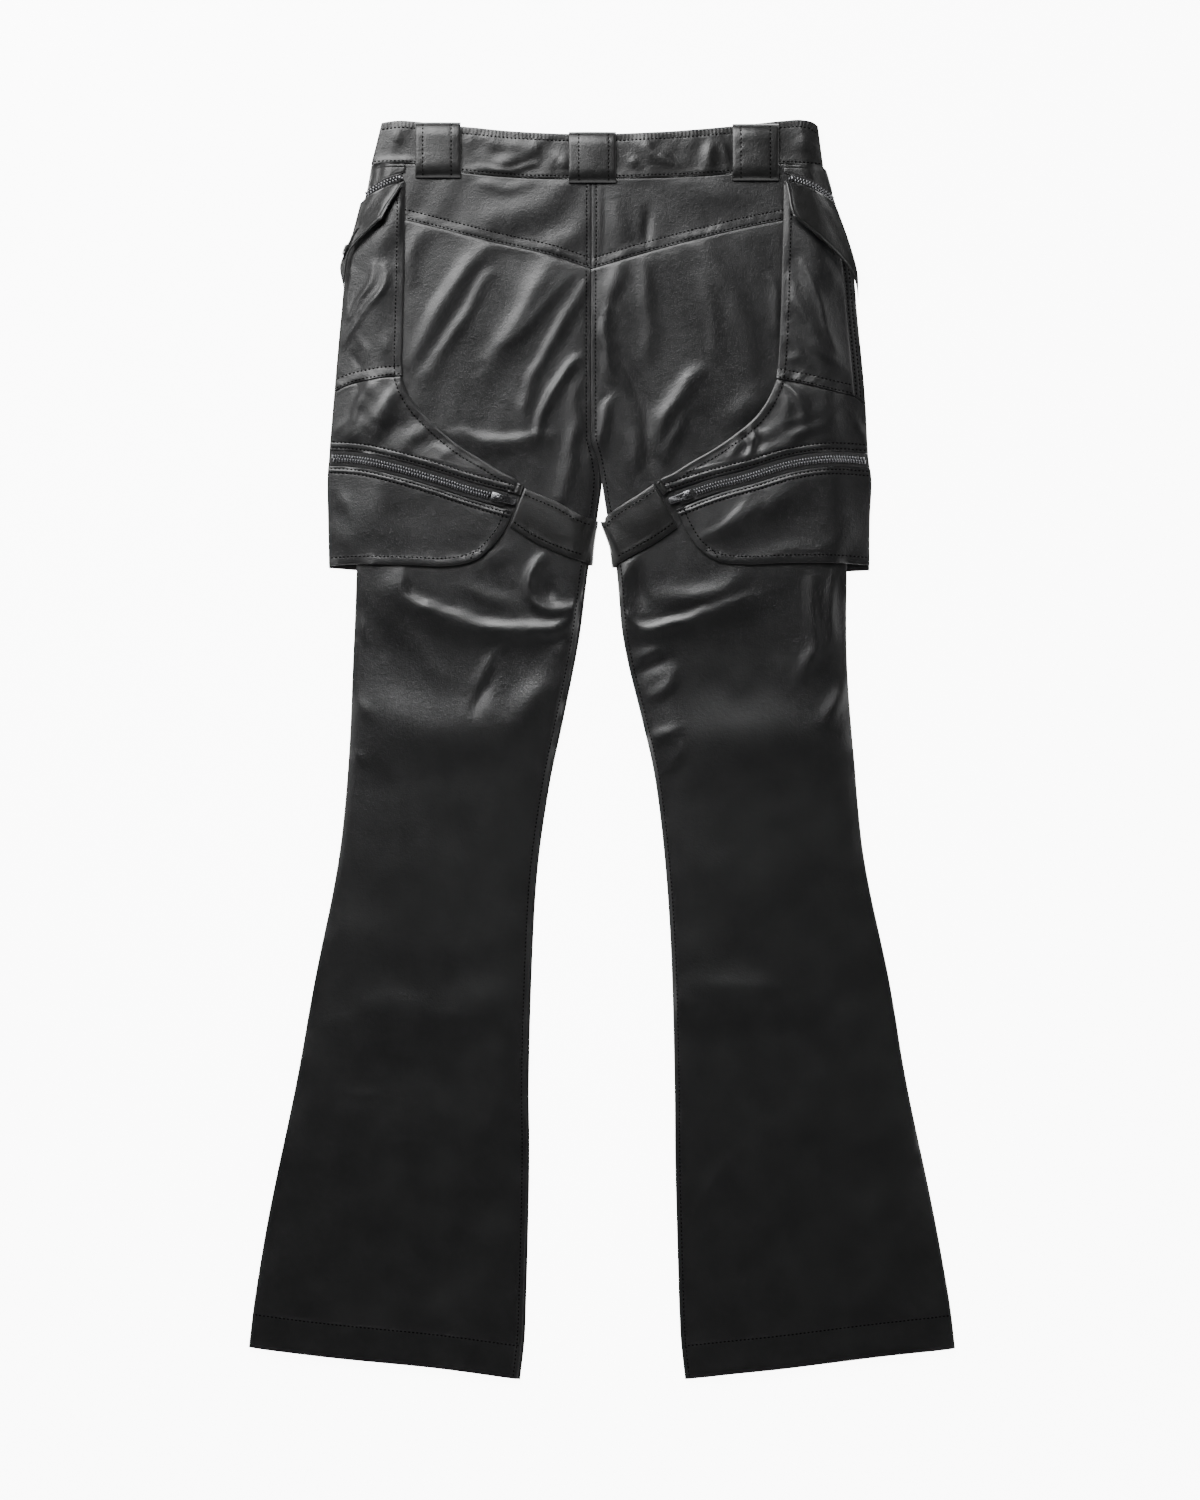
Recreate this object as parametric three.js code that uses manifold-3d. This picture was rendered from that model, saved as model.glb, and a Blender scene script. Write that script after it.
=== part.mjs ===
// Leather trousers with a cargo overlay, laid flat with the back side up.
// Millimetres. X runs across the garment, Y up towards the waistband, Z up from the surface
// that it lies on. "left" is the side with negative X, which is the wearer's left.
import * as THREE from "three";
import { mergeVertices } from "three/addons/utils/BufferGeometryUtils.js";
import Module from "manifold-3d";

const wasm = await Module();
wasm.setup();

// Driving sizes of the cloth
const CLOTH = 1.3; // leather and its backing, one layer
const HEM_CLOTH = 1.5; // overlay front and strap, turned at their edges
const BAND = 2.2; // waistband, doubled
const FLAP = 2.0; // pocket flap, doubled
const LOOP = 2.2; // belt loop, folded leather
const GAP = 0.3; // between neighbouring pieces
const SEAM_DITCH = 0.8; // the curved cross seam of the overlay
const BAND_GAP = 1; // below the waistband's curved seam
const HIDDEN_GAP = 2.2; // the same at the front, which doesn't show
const BAND_SHARE = { left: 0.157, right: 0.17 }; // of the band seam, from the side to the overlay

// Driving sizes of the way it lies
const LEG_LOFT = 3.2; // how far a leg's back stands off its front, away from the folds
const EDGE_ROLL = 15; // width over which the back rolls down to a side
const OVERLAY_LOFT = 1.6; // how far the overlay stands off the seat
const OVERLAY_ROLL = 26; // width over which it lifts from its inner edge
const FRONT_LIFT = 2.0; // the trousers' front lies this high where the overlay's front is below
const LIFT_START = 118; // height up the leg where the front starts to rise
const LIFT_END = 152;
const BAND_LOFT = 3.4; // back of the waistband off its front
const LOOP_LOFT = 3.9; // the middle of a belt loop off the waistband
const LOOP_ROLL = 12; // length over which it rises from its sewn ends
const FLAP_LOFT = 1.2; // a pocket flap off its panel, away from its seam
const FLAP_ROLL = 18; // width over which it lifts from the side
const FLAP_SEAM_SHARE = 0.3; // share of its depth over which it lifts from its seam
const FLAP_STEP = 5; // width over which it comes down from the panel's turned edge
const OVERLAY_HEM = 166; // lower edge of the cuffs
const STRAP_LOFT = 0.5; // the strap off the leg
const STRAP_SETTLE = 0.8; // share of its way at which it starts to level out for its bend
const SEAM_ROLL = 12; // width over which the overlay's loft ends at the trousers' side
const SIDE_ROLL_LEAST = 3; // width of the overlay's roll where it hardly passes their side
const CALM_SIDE = 14; // the overlay's folds fade over this width at its side
const FOLD_FROM = 4; // the trousers' folds start this far from the overlay
const FOLD_FULL = 17; // and are whole this far from it
const LEG_PART = 30; // length below the crotch over which the inner edges start to roll

// Turned, topstitched edge
const TURN_WIDTH = 6;
const TURN_RISE = 0.8;
const TURN_STEP = 1.6; // width of the step from the turning down to the panel
const EDGE_ROUND = { width: 1.2, drop: 0.5 };

// Zips
const SLOT = 14; // width between the two lips of the thigh zip
const POCKET_SLOT = 8.4;
const POCKET_TEETH = 0.6; // the pocket zip's closed teeth over its tape
const TAPE = 0.8; // thickness of the woven tape
const CHAIN = { width: 5.8, height: 1.9 };
const CHAIN_LIFT = 0.5; // chain and slider off the tape
const SLIDER = { back: 7.4, nose: 3.0, width: 7.8, noseWidth: 5.2, height: 3.0, corner: 1.4, neck: 1 };
const CROWN = { width: 1.8, back: 4.6, front: 2.5, rise: 3.1, axis: 1.75, hole: 1.15, sunk: 0.4 };
const CROWN_SHOULDER = { length: 1.6, drop: 0.7, top: 1.8 };
const PULL = { length: 15, width: 6.4, thickness: 1.1, bar: 0.6, window: 4.4, windowWidth: 2.8 };
const PULL_END = { corner: 1.6, taper: 0.3 };
const PULL_DROP = 12; // degrees by which the tab slopes down to the strap

const SIDES = ["left", "right"];
const CENTRE_SEAM = -9.4;
const CROTCH = 274; // height where the two legs part
const SEAT_END = 244; // height where the seat meets the straps
const CUFF_INNER = 72; // distance of the cuffs' inner edges from the middle
const CUFF_BLEND = 24; // height over which the overlay's edge passes to the cuff's
// The overlay's lower edge, from the cuff's hem up its rounded corner and down along the strap
const CUFF_CORNER = { rise: 30, from: 118, to: 84 };
const STRAP_FALL = { fall: 34, from: 74, to: 22 };

function rows(columns, values) {
  const names = columns.split(" ");
  return values.map((row) => Object.fromEntries(names.map((name, i) => [name, row[i]])));
}

// Outlines. Those with a column y give the edge's x at that height, from the waist down.
const OUTSEAM = rows("y left right", [
  [530, -198, 193],
  [468, -207, 205],
  [405, -212.5, 212.5],
  [333, -216.5, 216.5],
  [243, -220, 220],
  [165, -220.5, 220],
  [77, -224, 220.5],
  [-10, -228, 227],
  [-99, -237, 236],
  [-208, -258.5, 258.5],
  [-297, -274.5, 273.5],
  [-420, -300, 299],
  [-509, -314.5, 314.5],
  [-542, -318, 318],
]);
const INSEAM = rows("y left right", [
  [520, -9.4, -9.4],
  [CROTCH, -9.4, -9.4],
  [265, -5.6, -5],
  [252, -3.2, -2.6],
  [237, -2.6, 0],
  [224, -4.5, 2.2],
  [208, -6.5, 4.8],
  [164, -14.4, 12.6],
  [99, -23, 19],
  [24, -37.8, 36.5],
  [-27, -48.6, 47.7],
  [-104, -59.8, 56.7],
  [-185, -64.8, 62],
  [-297, -68, 65],
  [-373, -67.5, 65.7],
  [-534, -72, 70.7],
  [-566, -76, 74.5],
]);
const OVERLAY_SIDE = rows("y left right", [
  [526, -207.5, 199],
  [511, -209, 204],
  [482, -218.5, 213],
  [445, -228.5, 224],
  [387, -235, 230],
  [319, -241, 236.5],
  [265, -245.5, 239.5],
  [243, -247, 242.5],
  [207, -246.5, 241],
  [160, -245.5, 240.5],
]);
const BOUND_EDGE = rows("y left right", [
  [526, -176.4, 163.5],
  [447, -177.3, 162],
  [370, -179, 159.5],
  [342, -179.5, 157.5],
  [327, -177, 154.5],
  [312, -168.6, 147.6],
  [299, -158, 138],
  [285, -144, 122.5],
  [272, -127, 103.5],
  [259, -105, 81],
  [247, -86, 62],
  [238, -72, 48],
]);

// Outlines whose rows are points, each from the side seam inwards.
const HEM = rows("leftX leftY rightX rightY", [
  [-318, -537, 318, -538],
  [-244, -546, 252, -545],
  [-153, -555, 160, -556.5],
  [-114, -560, 116, -561],
  [-76, -565.6, 74.5, -565.6],
]);
const YOKE_SEAM = rows("leftX leftY rightX rightY", [
  [-207, 481, 204, 481],
  [-175.5, 475.5, 160.2, 475.2],
  [-99, 456.3, 100.8, 462.6],
  [-45, 444, 38.7, 446.4],
  [-9.4, 432, -9.4, 432],
]);
const BAND_SEAM = rows("leftX leftY rightX rightY", [
  [-207.5, 526.2, 199, 524],
  [-173, 526, 158.5, 525.5],
  [-128, 519, 117, 518],
  [-74, 514, 70, 514.8],
  [-9.4, 512.8, -9.4, 512.8],
]);
const BAND_TOP = rows("leftX leftY rightX rightY", [
  [-198, 563, 194, 560.4],
  [-184, 565, 186, 565],
  [-128, 560, 117, 560],
  [-74, 555, 70, 556],
  [-9.4, 553, -9.4, 553],
]);
const POCKET_ZIP = rows("leftX leftY rightX rightY", [
  [-218, 495, 213, 490],
  [-210.5, 500, 205.8, 495.9],
  [-199, 506.5, 195.3, 503.1],
  [-188, 511, 183.6, 508.5],
  [-176.8, 514.6, 165.5, 514.4],
]);
const CROSS_SEAM = rows("leftX leftY rightX rightY", [
  [-246, 318.5, 243, 304],
  [-235.8, 325, 233.5, 313.5],
  [-224.1, 329.4, 226.8, 318],
  [-210.6, 332.3, 203.8, 323.1],
  [-195.3, 334.8, 182.7, 328.3],
  [-179.8, 335.9, 156.5, 333.5],
]);
const THIGH_ZIP = rows("leftX leftY rightX rightY", [
  [-251, 262.8, 246, 259.5],
  [-219.6, 260.6, 206.1, 261],
  [-188.1, 253.8, 169.2, 256.1],
  [-144, 241.2, 128.7, 243.9],
  [-116.1, 232.2, 99.9, 236.7],
  [-84.5, 224, 66, 225],
]);
const PANEL_TIP = rows("leftX leftY rightX rightY", [
  [-179.8, 335, 156.5, 332.6],
  [-173, 318, 151, 318.5],
  [-158, 299, 138, 299],
  [-127, 272, 103.5, 272],
  [-105, 259, 81, 259],
  [-86, 247, 62, 247],
  [-75, 239.5, 51.5, 240.5],
  [-77.5, 230, 57, 231],
]);
const CUFF_HEM = rows("leftX leftY rightX rightY", [
  [-245.5, 165.5, 240.5, 166],
  [-220, 166.8, 205, 168],
  [-171, 166, 150, 167.5],
  [-129.8, 165.5, 114, 166.8],
  [-110.5, 171.5, 96.5, 172.3],
]);
const CUFF_SIDE = rows("leftX leftY rightX rightY", [
  [-80.5, 213.8, 66.6, 215.4],
  [-85.9, 200, 72, 202.8],
  [-97.5, 183.5, 83, 184.5],
  [-110.5, 171.5, 96.5, 172.3],
]);
const FLAP_SEAM = rows("leftX leftY rightX rightY", [
  [-217, 490.5, 209.5, 490],
  [-211, 496, 204.5, 494.5],
  [-195, 504, 190, 502],
  [-184, 507.2, 176, 507.3],
  [-178.5, 507.5, 164.5, 508.8],
]);
const FLAP_SIDE = rows("leftX leftY rightX rightY", [
  [-217, 490.5, 209.5, 490],
  [-224.5, 461, 219, 464.4],
  [-229.5, 445.5, 225, 445],
  [-234.5, 436, 230.5, 421],
  [-235, 428, 232, 412],
  [-231.8, 415, 229.5, 405],
]);
const FLAP_EDGE = rows("leftX leftY rightX rightY", [
  [-231.8, 415, 229.5, 405],
  [-229.5, 430, 226.5, 421.5],
  [-226.5, 446, 219, 434],
  [-210.6, 463.5, 198, 455],
  [-197.3, 475, 171.5, 476],
]);
const FLAP_INNER = rows("leftX leftY rightX rightY", [
  [-178.5, 507.5, 164.5, 508.8],
  [-184.5, 496.8, 166.5, 497],
  [-192.6, 484.2, 168.3, 485],
  [-197.3, 475, 171.5, 476],
]);
const STRAP_TOP = rows("leftX leftY rightX rightY", [
  [-69.5, 235, 46.5, 239],
  [-42.3, 222.3, 26, 224],
  [-24.3, 210.2, 10, 212],
  [-3.3, 205.6, -1.5, 205],
]);
const STRAP_BOTTOM = rows("leftX leftY rightX rightY", [
  [-82.5, 200.5, 68, 200],
  [-60.8, 185.4, 48.6, 185.4],
  [-35, 172.8, 26, 171],
  [-8.4, 165.6, 9.2, 163.8],
]);
const STRAP_END = rows("leftX leftY rightX rightY", [
  [-39, 208, 37.5, 208],
  [-39, 168, 37.5, 168],
]);
const SHORTS_INNER = rows("leftX leftY rightX rightY", [
  [-10.4, 512.5, -8.4, 512.5],
  [-10.4, 320, -8.4, 320],
  [-12, 285, -6, 285],
  [-22, 248, 14, 248],
  [-38, 218, 36, 218],
  [-40.5, 205, 39, 205],
  [-40, 162, 38.5, 162],
]);
const SHORTS_HEM = rows("leftX leftY rightX rightY", [
  [-245.5, 163.5, 240.5, 161.5],
  [-220, 160.6, 220, 159.3],
  [-130, 160.5, 130, 160.5],
  [-40, 162, 38.5, 162],
]);
// The narrow strip beyond the right overlay's side seam. Above it the panel reaches the side.
const STRIP_WIDTH = 9.5;
const STRIP_TOP = 442;
const STRIP_BLEND = { from: 3, to: 33 };

// Folds. Each is a soft ridge, or a trough where its height is negative, along a curve
// from its start to its end that is drawn towards its middle point.
const FOLD_COLUMNS = "startX startY middleX middleY endX endY width height";
const SEAT_FOLDS = {
  left: rows(FOLD_COLUMNS, [
    [-112, 440, -140, 408, -165, 380, 9, 2.2],
    [-52, 428, -72, 400, -96, 372, 9, 2.2],
    [-20, 420, -44, 385, -62, 345, 8, 1.8],
    [-24, 346, -38, 332, -55, 312, 8, 1.8],
    [-17, 288, -26, 272, -22, 262, 5, 1.6],
  ]),
  right: rows(FOLD_COLUMNS, [
    [84, 448, 104, 412, 124, 380, 10, 2],
    [13, 420, 8, 400, 2, 384, 9, 1.8],
    [84, 336, 66, 300, 32, 276, 10, 2.2],
  ]),
};
const LEG_FOLDS = {
  left: rows(FOLD_COLUMNS, [
    [-172, 138, -119, 88, -27, 130, 11, 4],
    [-64, 148, -72, 116, -38, 124, 7, 2.2],
    [-188, 112, -140, 100, -92, 88, 10, -1.4],
    [-95, 86, -100, 60, -110, 36, 7, 1.2],
    [-193, 32, -119, -9, -43, 52, 18, 2.4],
    [-218, -225, -158, -232, -110, -229, 24, 1.4],
    [-268, -376, -206, -560, -92, -388, 26, -1.6],
  ]),
  right: rows(FOLD_COLUMNS, [
    [20, 134, 46, 92, 122, 132, 10, 3.6],
    [44, 146, 66, 122, 112, 146, 8, 2.2],
    [190, 138, 189, 100, 179, 74, 8, 2],
    [206, 144, 206, 122, 203, 100, 7, 1.6],
    [216, 56, 210, 42, 203, 28, 7, 1.5],
    [64, 68, 64, 44, 66, 22, 7, 1.2],
    [46, 8, 133, 0, 220, 12, 18, 2.4],
    [76, -210, 116, -222, 156, -215, 24, 1.4],
    [276, -360, 248, -429, 222, -476, 18, 1.4],
  ]),
};
const OVERLAY_FOLDS = {
  left: rows(FOLD_COLUMNS, [
    [-194, 420, -202, 398, -222, 374, 6, 2],
    [-208, 424, -220, 398, -227, 386, 5, 1.6],
    [-208, 322, -218, 306, -227, 284, 6, 1.8],
    [-186, 318, -198, 300, -216, 282, 7, 2],
    [-150, 266, -146, 256, -138, 250, 6, 1.2],
    [-196, 232, -214, 214, -226, 190, 12, 1.6],
  ]),
  right: rows(FOLD_COLUMNS, [
    [172, 410, 184, 376, 212, 346, 7, 2],
    [186, 420, 197, 390, 212, 358, 6, 1.8],
    [166, 322, 176, 310, 182, 290, 7, 2],
    [140, 282, 138, 274, 136, 266, 6, 1.4],
    [136, 222, 120, 214, 102, 196, 11, 2],
    [216, 226, 214, 206, 218, 186, 12, 1.4],
  ]),
};
const BAND_FOLDS = rows(FOLD_COLUMNS, [
  [-112, 552, -98, 536, -90, 524, 8, 1.4],
  [-66, 548, -52, 534, -44, 522, 8, 1.2],
  [38, 546, 50, 532, 64, 522, 8, 1.2],
  [82, 552, 92, 540, 102, 526, 8, 1.4],
  [174, 558, 183, 546, 190, 536, 7, 1],
]);

// Smooth reading of the tables
function smoothStep(low, high, value) {
  const t = Math.min(Math.max((value - low) / (high - low), 0), 1);
  return t * t * (3 - 2 * t);
}

function roll(distance, width) {
  return Math.sin((Math.PI / 2) * Math.min(Math.max(distance / width, 0), 1));
}

function edgeAt(table, side, y) {
  const last = table.length - 1;
  let i = 0;
  while (i < last - 1 && y < table[i + 1].y) i += 1;
  const slope = (k) => {
    const above = table[Math.max(k - 1, 0)];
    const below = table[Math.min(k + 1, last)];
    return (below[side] - above[side]) / (below.y - above.y);
  };
  const span = table[i + 1].y - table[i].y;
  const t = Math.min(Math.max((y - table[i].y) / span, 0), 1);
  const ease = t * t * (3 - 2 * t);
  const start = table[i][side] + (t - t * t) * (1 - t) * span * slope(i);
  const end = table[i + 1][side] - t * t * (1 - t) * span * slope(i + 1);
  return start + ease * (table[i + 1][side] - table[i][side]) + (end - table[i + 1][side]);
}

function pathOf(table, side) {
  const points = table.map((row) => new THREE.Vector3(row[`${side}X`], row[`${side}Y`], 0));
  return new THREE.CatmullRomCurve3(points, false, "centripetal");
}

function pathReader(table, side) {
  const curve = pathOf(table, side);
  return (t) => curve.getPointAt(t);
}

function edgeReader(table, side, topY, bottomY) {
  return (t) => {
    const y = THREE.MathUtils.lerp(topY, bottomY, t);
    return new THREE.Vector3(edgeAt(table, side, y), y, 0);
  };
}

// A line beside a path, moved up the garment by a distance
function besideReader(table, side, distance) {
  const curve = pathOf(table, side);
  const turn = side === "left" ? 1 : -1;
  return (t) => {
    const tangent = curve.getTangentAt(t);
    const across = new THREE.Vector3(-tangent.y, tangent.x, 0).multiplyScalar(turn * distance);
    return curve.getPointAt(t).add(across);
  };
}

// The share of a path at which it lies a given distance inside the overlay's side
function crossingOf(reader, side, inset) {
  const sign = side === "left" ? 1 : -1;
  let low = 0;
  let high = 0.5;
  for (let i = 0; i < 30; i += 1) {
    const middle = (low + high) / 2;
    const point = reader(middle);
    if (sign * (point.x - edgeAt(OVERLAY_SIDE, side, point.y)) < inset) low = middle;
    else high = middle;
  }
  return low;
}

function partOf(reader, from, to) {
  return (t) => reader(THREE.MathUtils.lerp(from, to, t));
}

function fromSide(reader, side) {
  return partOf(reader, crossingOf(reader, side, 0), 1);
}

// The waistband's edges run from the left end to the right end. What hangs from the band
// reads the same seam from its own side to the centre.
function bandCurve(table) {
  const left = table.map((row) => new THREE.Vector3(row.leftX, row.leftY, 0));
  const right = table.map((row) => new THREE.Vector3(row.rightX, row.rightY, 0)).reverse();
  return new THREE.CatmullRomCurve3([...left, ...right.slice(1)], false, "centripetal");
}

function belowBand(side, gap) {
  const curve = bandCurve(BAND_SEAM);
  const samples = 200;
  const lengths = curve.getLengths(samples);
  const centre = lengths[samples / 2] / lengths[samples];
  const drop = new THREE.Vector3(0, -gap, 0);
  if (side === "left") return (t) => curve.getPointAt(t * centre).add(drop);
  return (t) => curve.getPointAt(1 - t * (1 - centre)).add(drop);
}

// Plan of a panel between four edges. top and bottom run from the side seam inwards,
// outer and inner run down. The corners are those of outer and inner.
function planOf({ top, bottom, outer, inner }) {
  const topOuter = outer(0).sub(top(0));
  const topInner = inner(0).sub(top(1));
  const bottomOuter = outer(1).sub(bottom(0));
  const bottomInner = inner(1).sub(bottom(1));
  return (down, across) => {
    const nearOuter = (1 - across) ** 4;
    const nearInner = across ** 4;
    const upper = top(across).addScaledVector(topOuter, nearOuter).addScaledVector(topInner, nearInner);
    const lower = bottom(across)
      .addScaledVector(bottomOuter, nearOuter)
      .addScaledVector(bottomInner, nearInner);
    const point = upper.multiplyScalar(1 - down).addScaledVector(lower, down);
    point.addScaledVector(outer(down), 1 - across).addScaledVector(inner(down), across);
    point.addScaledVector(outer(0), -(1 - down) * (1 - across));
    point.addScaledVector(inner(0), -(1 - down) * across);
    point.addScaledVector(outer(1), -down * (1 - across));
    point.addScaledVector(inner(1), -down * across);
    return point;
  };
}

// Heights of the cloth
function foldHeight(folds, x, y) {
  const steps = 10;
  let height = 0;
  for (const fold of folds) {
    let nearest = Infinity;
    for (let i = 0; i <= steps; i += 1) {
      const t = i / steps;
      const start = (1 - t) * (1 - t);
      const middle = 2 * t * (1 - t);
      const end = t * t;
      const foldX = start * fold.startX + middle * fold.middleX + end * fold.endX;
      const foldY = start * fold.startY + middle * fold.middleY + end * fold.endY;
      nearest = Math.min(nearest, Math.hypot(x - foldX, y - foldY));
    }
    height += fold.height * Math.exp(-((nearest / fold.width) ** 2));
  }
  return height;
}

function frontHeight(y) {
  return FRONT_LIFT * smoothStep(LIFT_START, LIFT_END, y);
}

// How far inside the visible seat a point lies, and how far below the overlay
const BOUND_END = BOUND_EDGE.at(-1).y;

function insideSeat(side, x, y) {
  const edge = edgeAt(BOUND_EDGE, side, Math.max(y, BOUND_END));
  const inward = side === "left" ? x - edge : edge - x;
  return Math.min(inward, y - SEAT_END);
}

function belowOverlay(x, y) {
  const outward = Math.abs(x);
  const corner = CUFF_CORNER.rise * smoothStep(CUFF_CORNER.from, CUFF_CORNER.to, outward);
  const strapFall = STRAP_FALL.fall * smoothStep(STRAP_FALL.from, STRAP_FALL.to, outward);
  return OVERLAY_HEM + corner - strapFall - y;
}

function legTop(side, x, y, folded) {
  const outer = edgeAt(OUTSEAM, side, y);
  const inner = edgeAt(INSEAM, side, y);
  const sign = side === "left" ? 1 : -1;
  const legParted = smoothStep(CROTCH, CROTCH - LEG_PART, y);
  const outerRoll = roll(sign * (x - outer), EDGE_ROLL);
  const innerRoll = THREE.MathUtils.lerp(1, roll(sign * (inner - x), EDGE_ROLL), legParted);
  let loft = LEG_LOFT * Math.min(outerRoll, innerRoll);
  if (folded) {
    const seat = smoothStep(FOLD_FROM, FOLD_FULL, insideSeat(side, x, y));
    const leg = smoothStep(FOLD_FROM, FOLD_FULL, belowOverlay(x, y));
    if (seat > 0) loft += seat * foldHeight(SEAT_FOLDS[side], x, y);
    if (leg > 0) loft += leg * foldHeight(LEG_FOLDS[side], x, y) * Math.min(outerRoll, innerRoll);
  }
  return frontHeight(y) + CLOTH + GAP + Math.max(loft, 0) + CLOTH;
}

// Underside of the overlay: it lies on the trousers, and rolls down past their side
function overlayUnder(side, x, y) {
  const sign = side === "left" ? 1 : -1;
  const edge = edgeAt(OVERLAY_SIDE, side, y);
  const seam = edgeAt(OUTSEAM, side, y);
  const fromEdge = sign * (x - edge);
  const fromSeam = sign * (x - seam);
  const floor = HEM_CLOTH + GAP;
  const seamHeight = legTop(side, seam, y, false) + GAP;
  if (fromSeam < 0) {
    const width = Math.max(sign * (seam - edge), SIDE_ROLL_LEAST);
    return floor + (seamHeight - floor) * roll(fromEdge, width);
  }
  const bound = sign * (edgeAt(BOUND_EDGE, side, Math.max(y, BOUND_END)) - x);
  const aboveCuff = smoothStep(BOUND_END, BOUND_END + CUFF_BLEND, y);
  const inward = THREE.MathUtils.lerp(Math.abs(x) - CUFF_INNER, bound, aboveCuff);
  const innerLift = roll(inward - TURN_WIDTH, OVERLAY_ROLL);
  const lift = OVERLAY_LOFT * Math.min(innerLift, roll(fromSeam, SEAM_ROLL));
  return legTop(side, x, y, false) + GAP + lift;
}

function overlayTop(side, x, y) {
  const sign = side === "left" ? 1 : -1;
  const calm = roll(sign * (x - edgeAt(OVERLAY_SIDE, side, y)), CALM_SIDE);
  return overlayUnder(side, x, y) + CLOTH + calm * foldHeight(OVERLAY_FOLDS[side], x, y);
}

function bandUnder(x) {
  const end = Math.min(x - BAND_SEAM[0].leftX, BAND_SEAM[0].rightX - x);
  return BAND + GAP + BAND_LOFT * roll(end, EDGE_ROLL);
}

function bandTop(x, y) {
  return bandUnder(x) + BAND + foldHeight(BAND_FOLDS, x, y);
}

// A closed wall between a top and an under surface over a plan
function wallGeometry({ down, across, point, top, under, flip }) {
  const position = [];
  const index = [];
  const width = across.length;
  const count = down.length * width;
  for (const surface of [top, under]) {
    for (const t of down) {
      for (const s of across) {
        const p = surface(point(t, s), t, s);
        position.push(p.x, p.y, p.z);
      }
    }
  }
  const face = (a, b, c) => (flip ? index.push(a, c, b) : index.push(a, b, c));
  for (let i = 0; i < down.length - 1; i += 1) {
    for (let j = 0; j < width - 1; j += 1) {
      const a = i * width + j;
      const b = a + width;
      face(a, b, a + 1);
      face(b, b + 1, a + 1);
      face(count + a, count + a + 1, count + b);
      face(count + b, count + a + 1, count + b + 1);
    }
  }
  const rim = [];
  for (let j = 0; j < width - 1; j += 1) rim.push(j);
  for (let i = 0; i < down.length - 1; i += 1) rim.push(i * width + width - 1);
  for (let j = width - 1; j > 0; j -= 1) rim.push((down.length - 1) * width + j);
  for (let i = down.length - 1; i > 0; i -= 1) rim.push(i * width);
  rim.forEach((a, k) => {
    const b = rim[(k + 1) % rim.length];
    face(a, b, count + b);
    face(a, count + b, count + a);
  });
  const geometry = new THREE.BufferGeometry();
  geometry.setAttribute("position", new THREE.Float32BufferAttribute(position, 3));
  geometry.setIndex(index);
  geometry.computeVertexNormals();
  return geometry;
}

const raised = (height) => (p) => new THREE.Vector3(p.x, p.y, height(p.x, p.y));

function evenly(count) {
  return Array.from({ length: count + 1 }, (_, i) => i / count);
}

// Stations that are closer over a part of the way: each span has its end and its count
function stations(spans) {
  const found = [0];
  for (const { end, count } of rows("end count", spans)) {
    const start = found[found.length - 1];
    for (let i = 1; i <= count; i += 1) found.push(start + ((end - start) * i) / count);
  }
  return found;
}

// Materials
function leather(colour, roughness) {
  return new THREE.MeshStandardMaterial({ color: colour, roughness, metalness: 0 });
}

const FLAT_LEATHER = leather(0x202022, 0.42);
const SEAT_LEATHER = leather(0x2b2b2d, 0.38);
const BAND_LEATHER = leather(0x242426, 0.4);
const ZIP_TAPE = leather(0x141415, 0.9);
const ZIP_METAL = new THREE.MeshStandardMaterial({ color: 0x6d6d70, roughness: 0.3, metalness: 1 });

const trousers = new THREE.Group();

function addPiece(name, geometry, material) {
  const mesh = new THREE.Mesh(geometry, material.clone());
  mesh.name = name;
  trousers.add(mesh);
  return mesh;
}

// Panels of the trousers
const LEG_COLUMNS = stations([[0.025, 1], [0.08, 1], [0.92, 8], [0.975, 1], [1, 1]]);
const LEG_ROWS = stations([[0.27, 14], [0.45, 14], [1, 15]]);

function legBack(side) {
  const seamTop = YOKE_SEAM[0][`${side}Y`] - GAP;
  const shift = side === "left" ? -GAP / 2 : GAP / 2;
  const outer = edgeReader(OUTSEAM, side, seamTop, HEM[0][`${side}Y`]);
  const innerEdge = edgeReader(INSEAM, side, YOKE_SEAM.at(-1).leftY - GAP, HEM.at(-1)[`${side}Y`]);
  const inner = (t) => innerEdge(t).add(new THREE.Vector3(shift, 0, 0));
  const top = besideReader(YOKE_SEAM, side, -GAP);
  const point = planOf({ top, bottom: pathReader(HEM, side), outer, inner });
  const height = (x, y) => legTop(side, x, y, true);
  const geometry = wallGeometry({
    down: LEG_ROWS,
    across: LEG_COLUMNS,
    point,
    top: raised(height),
    under: raised((x, y) => height(x, y) - CLOTH),
    flip: side === "right",
  });
  addPiece(`leg_back_${side}`, geometry, SEAT_LEATHER);
}

function legFront(side) {
  const shift = side === "left" ? -GAP / 2 : GAP / 2;
  const topY = BAND_SEAM[0][`${side}Y`] - GAP;
  const outer = edgeReader(OUTSEAM, side, topY, HEM[0][`${side}Y`]);
  const innerEdge = edgeReader(INSEAM, side, BAND_SEAM.at(-1).leftY - GAP, HEM.at(-1)[`${side}Y`]);
  const inner = (t) => innerEdge(t).add(new THREE.Vector3(shift, 0, 0));
  const top = belowBand(side, HIDDEN_GAP);
  const point = planOf({ top, bottom: pathReader(HEM, side), outer, inner });
  const geometry = wallGeometry({
    down: stations([[0.2, 3], [0.4, 8], [1, 13]]),
    across: evenly(4),
    point,
    top: raised((x, y) => frontHeight(y) + CLOTH),
    under: raised((x, y) => frontHeight(y)),
    flip: side === "right",
  });
  addPiece(`leg_front_${side}`, geometry, FLAT_LEATHER);
}

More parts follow.
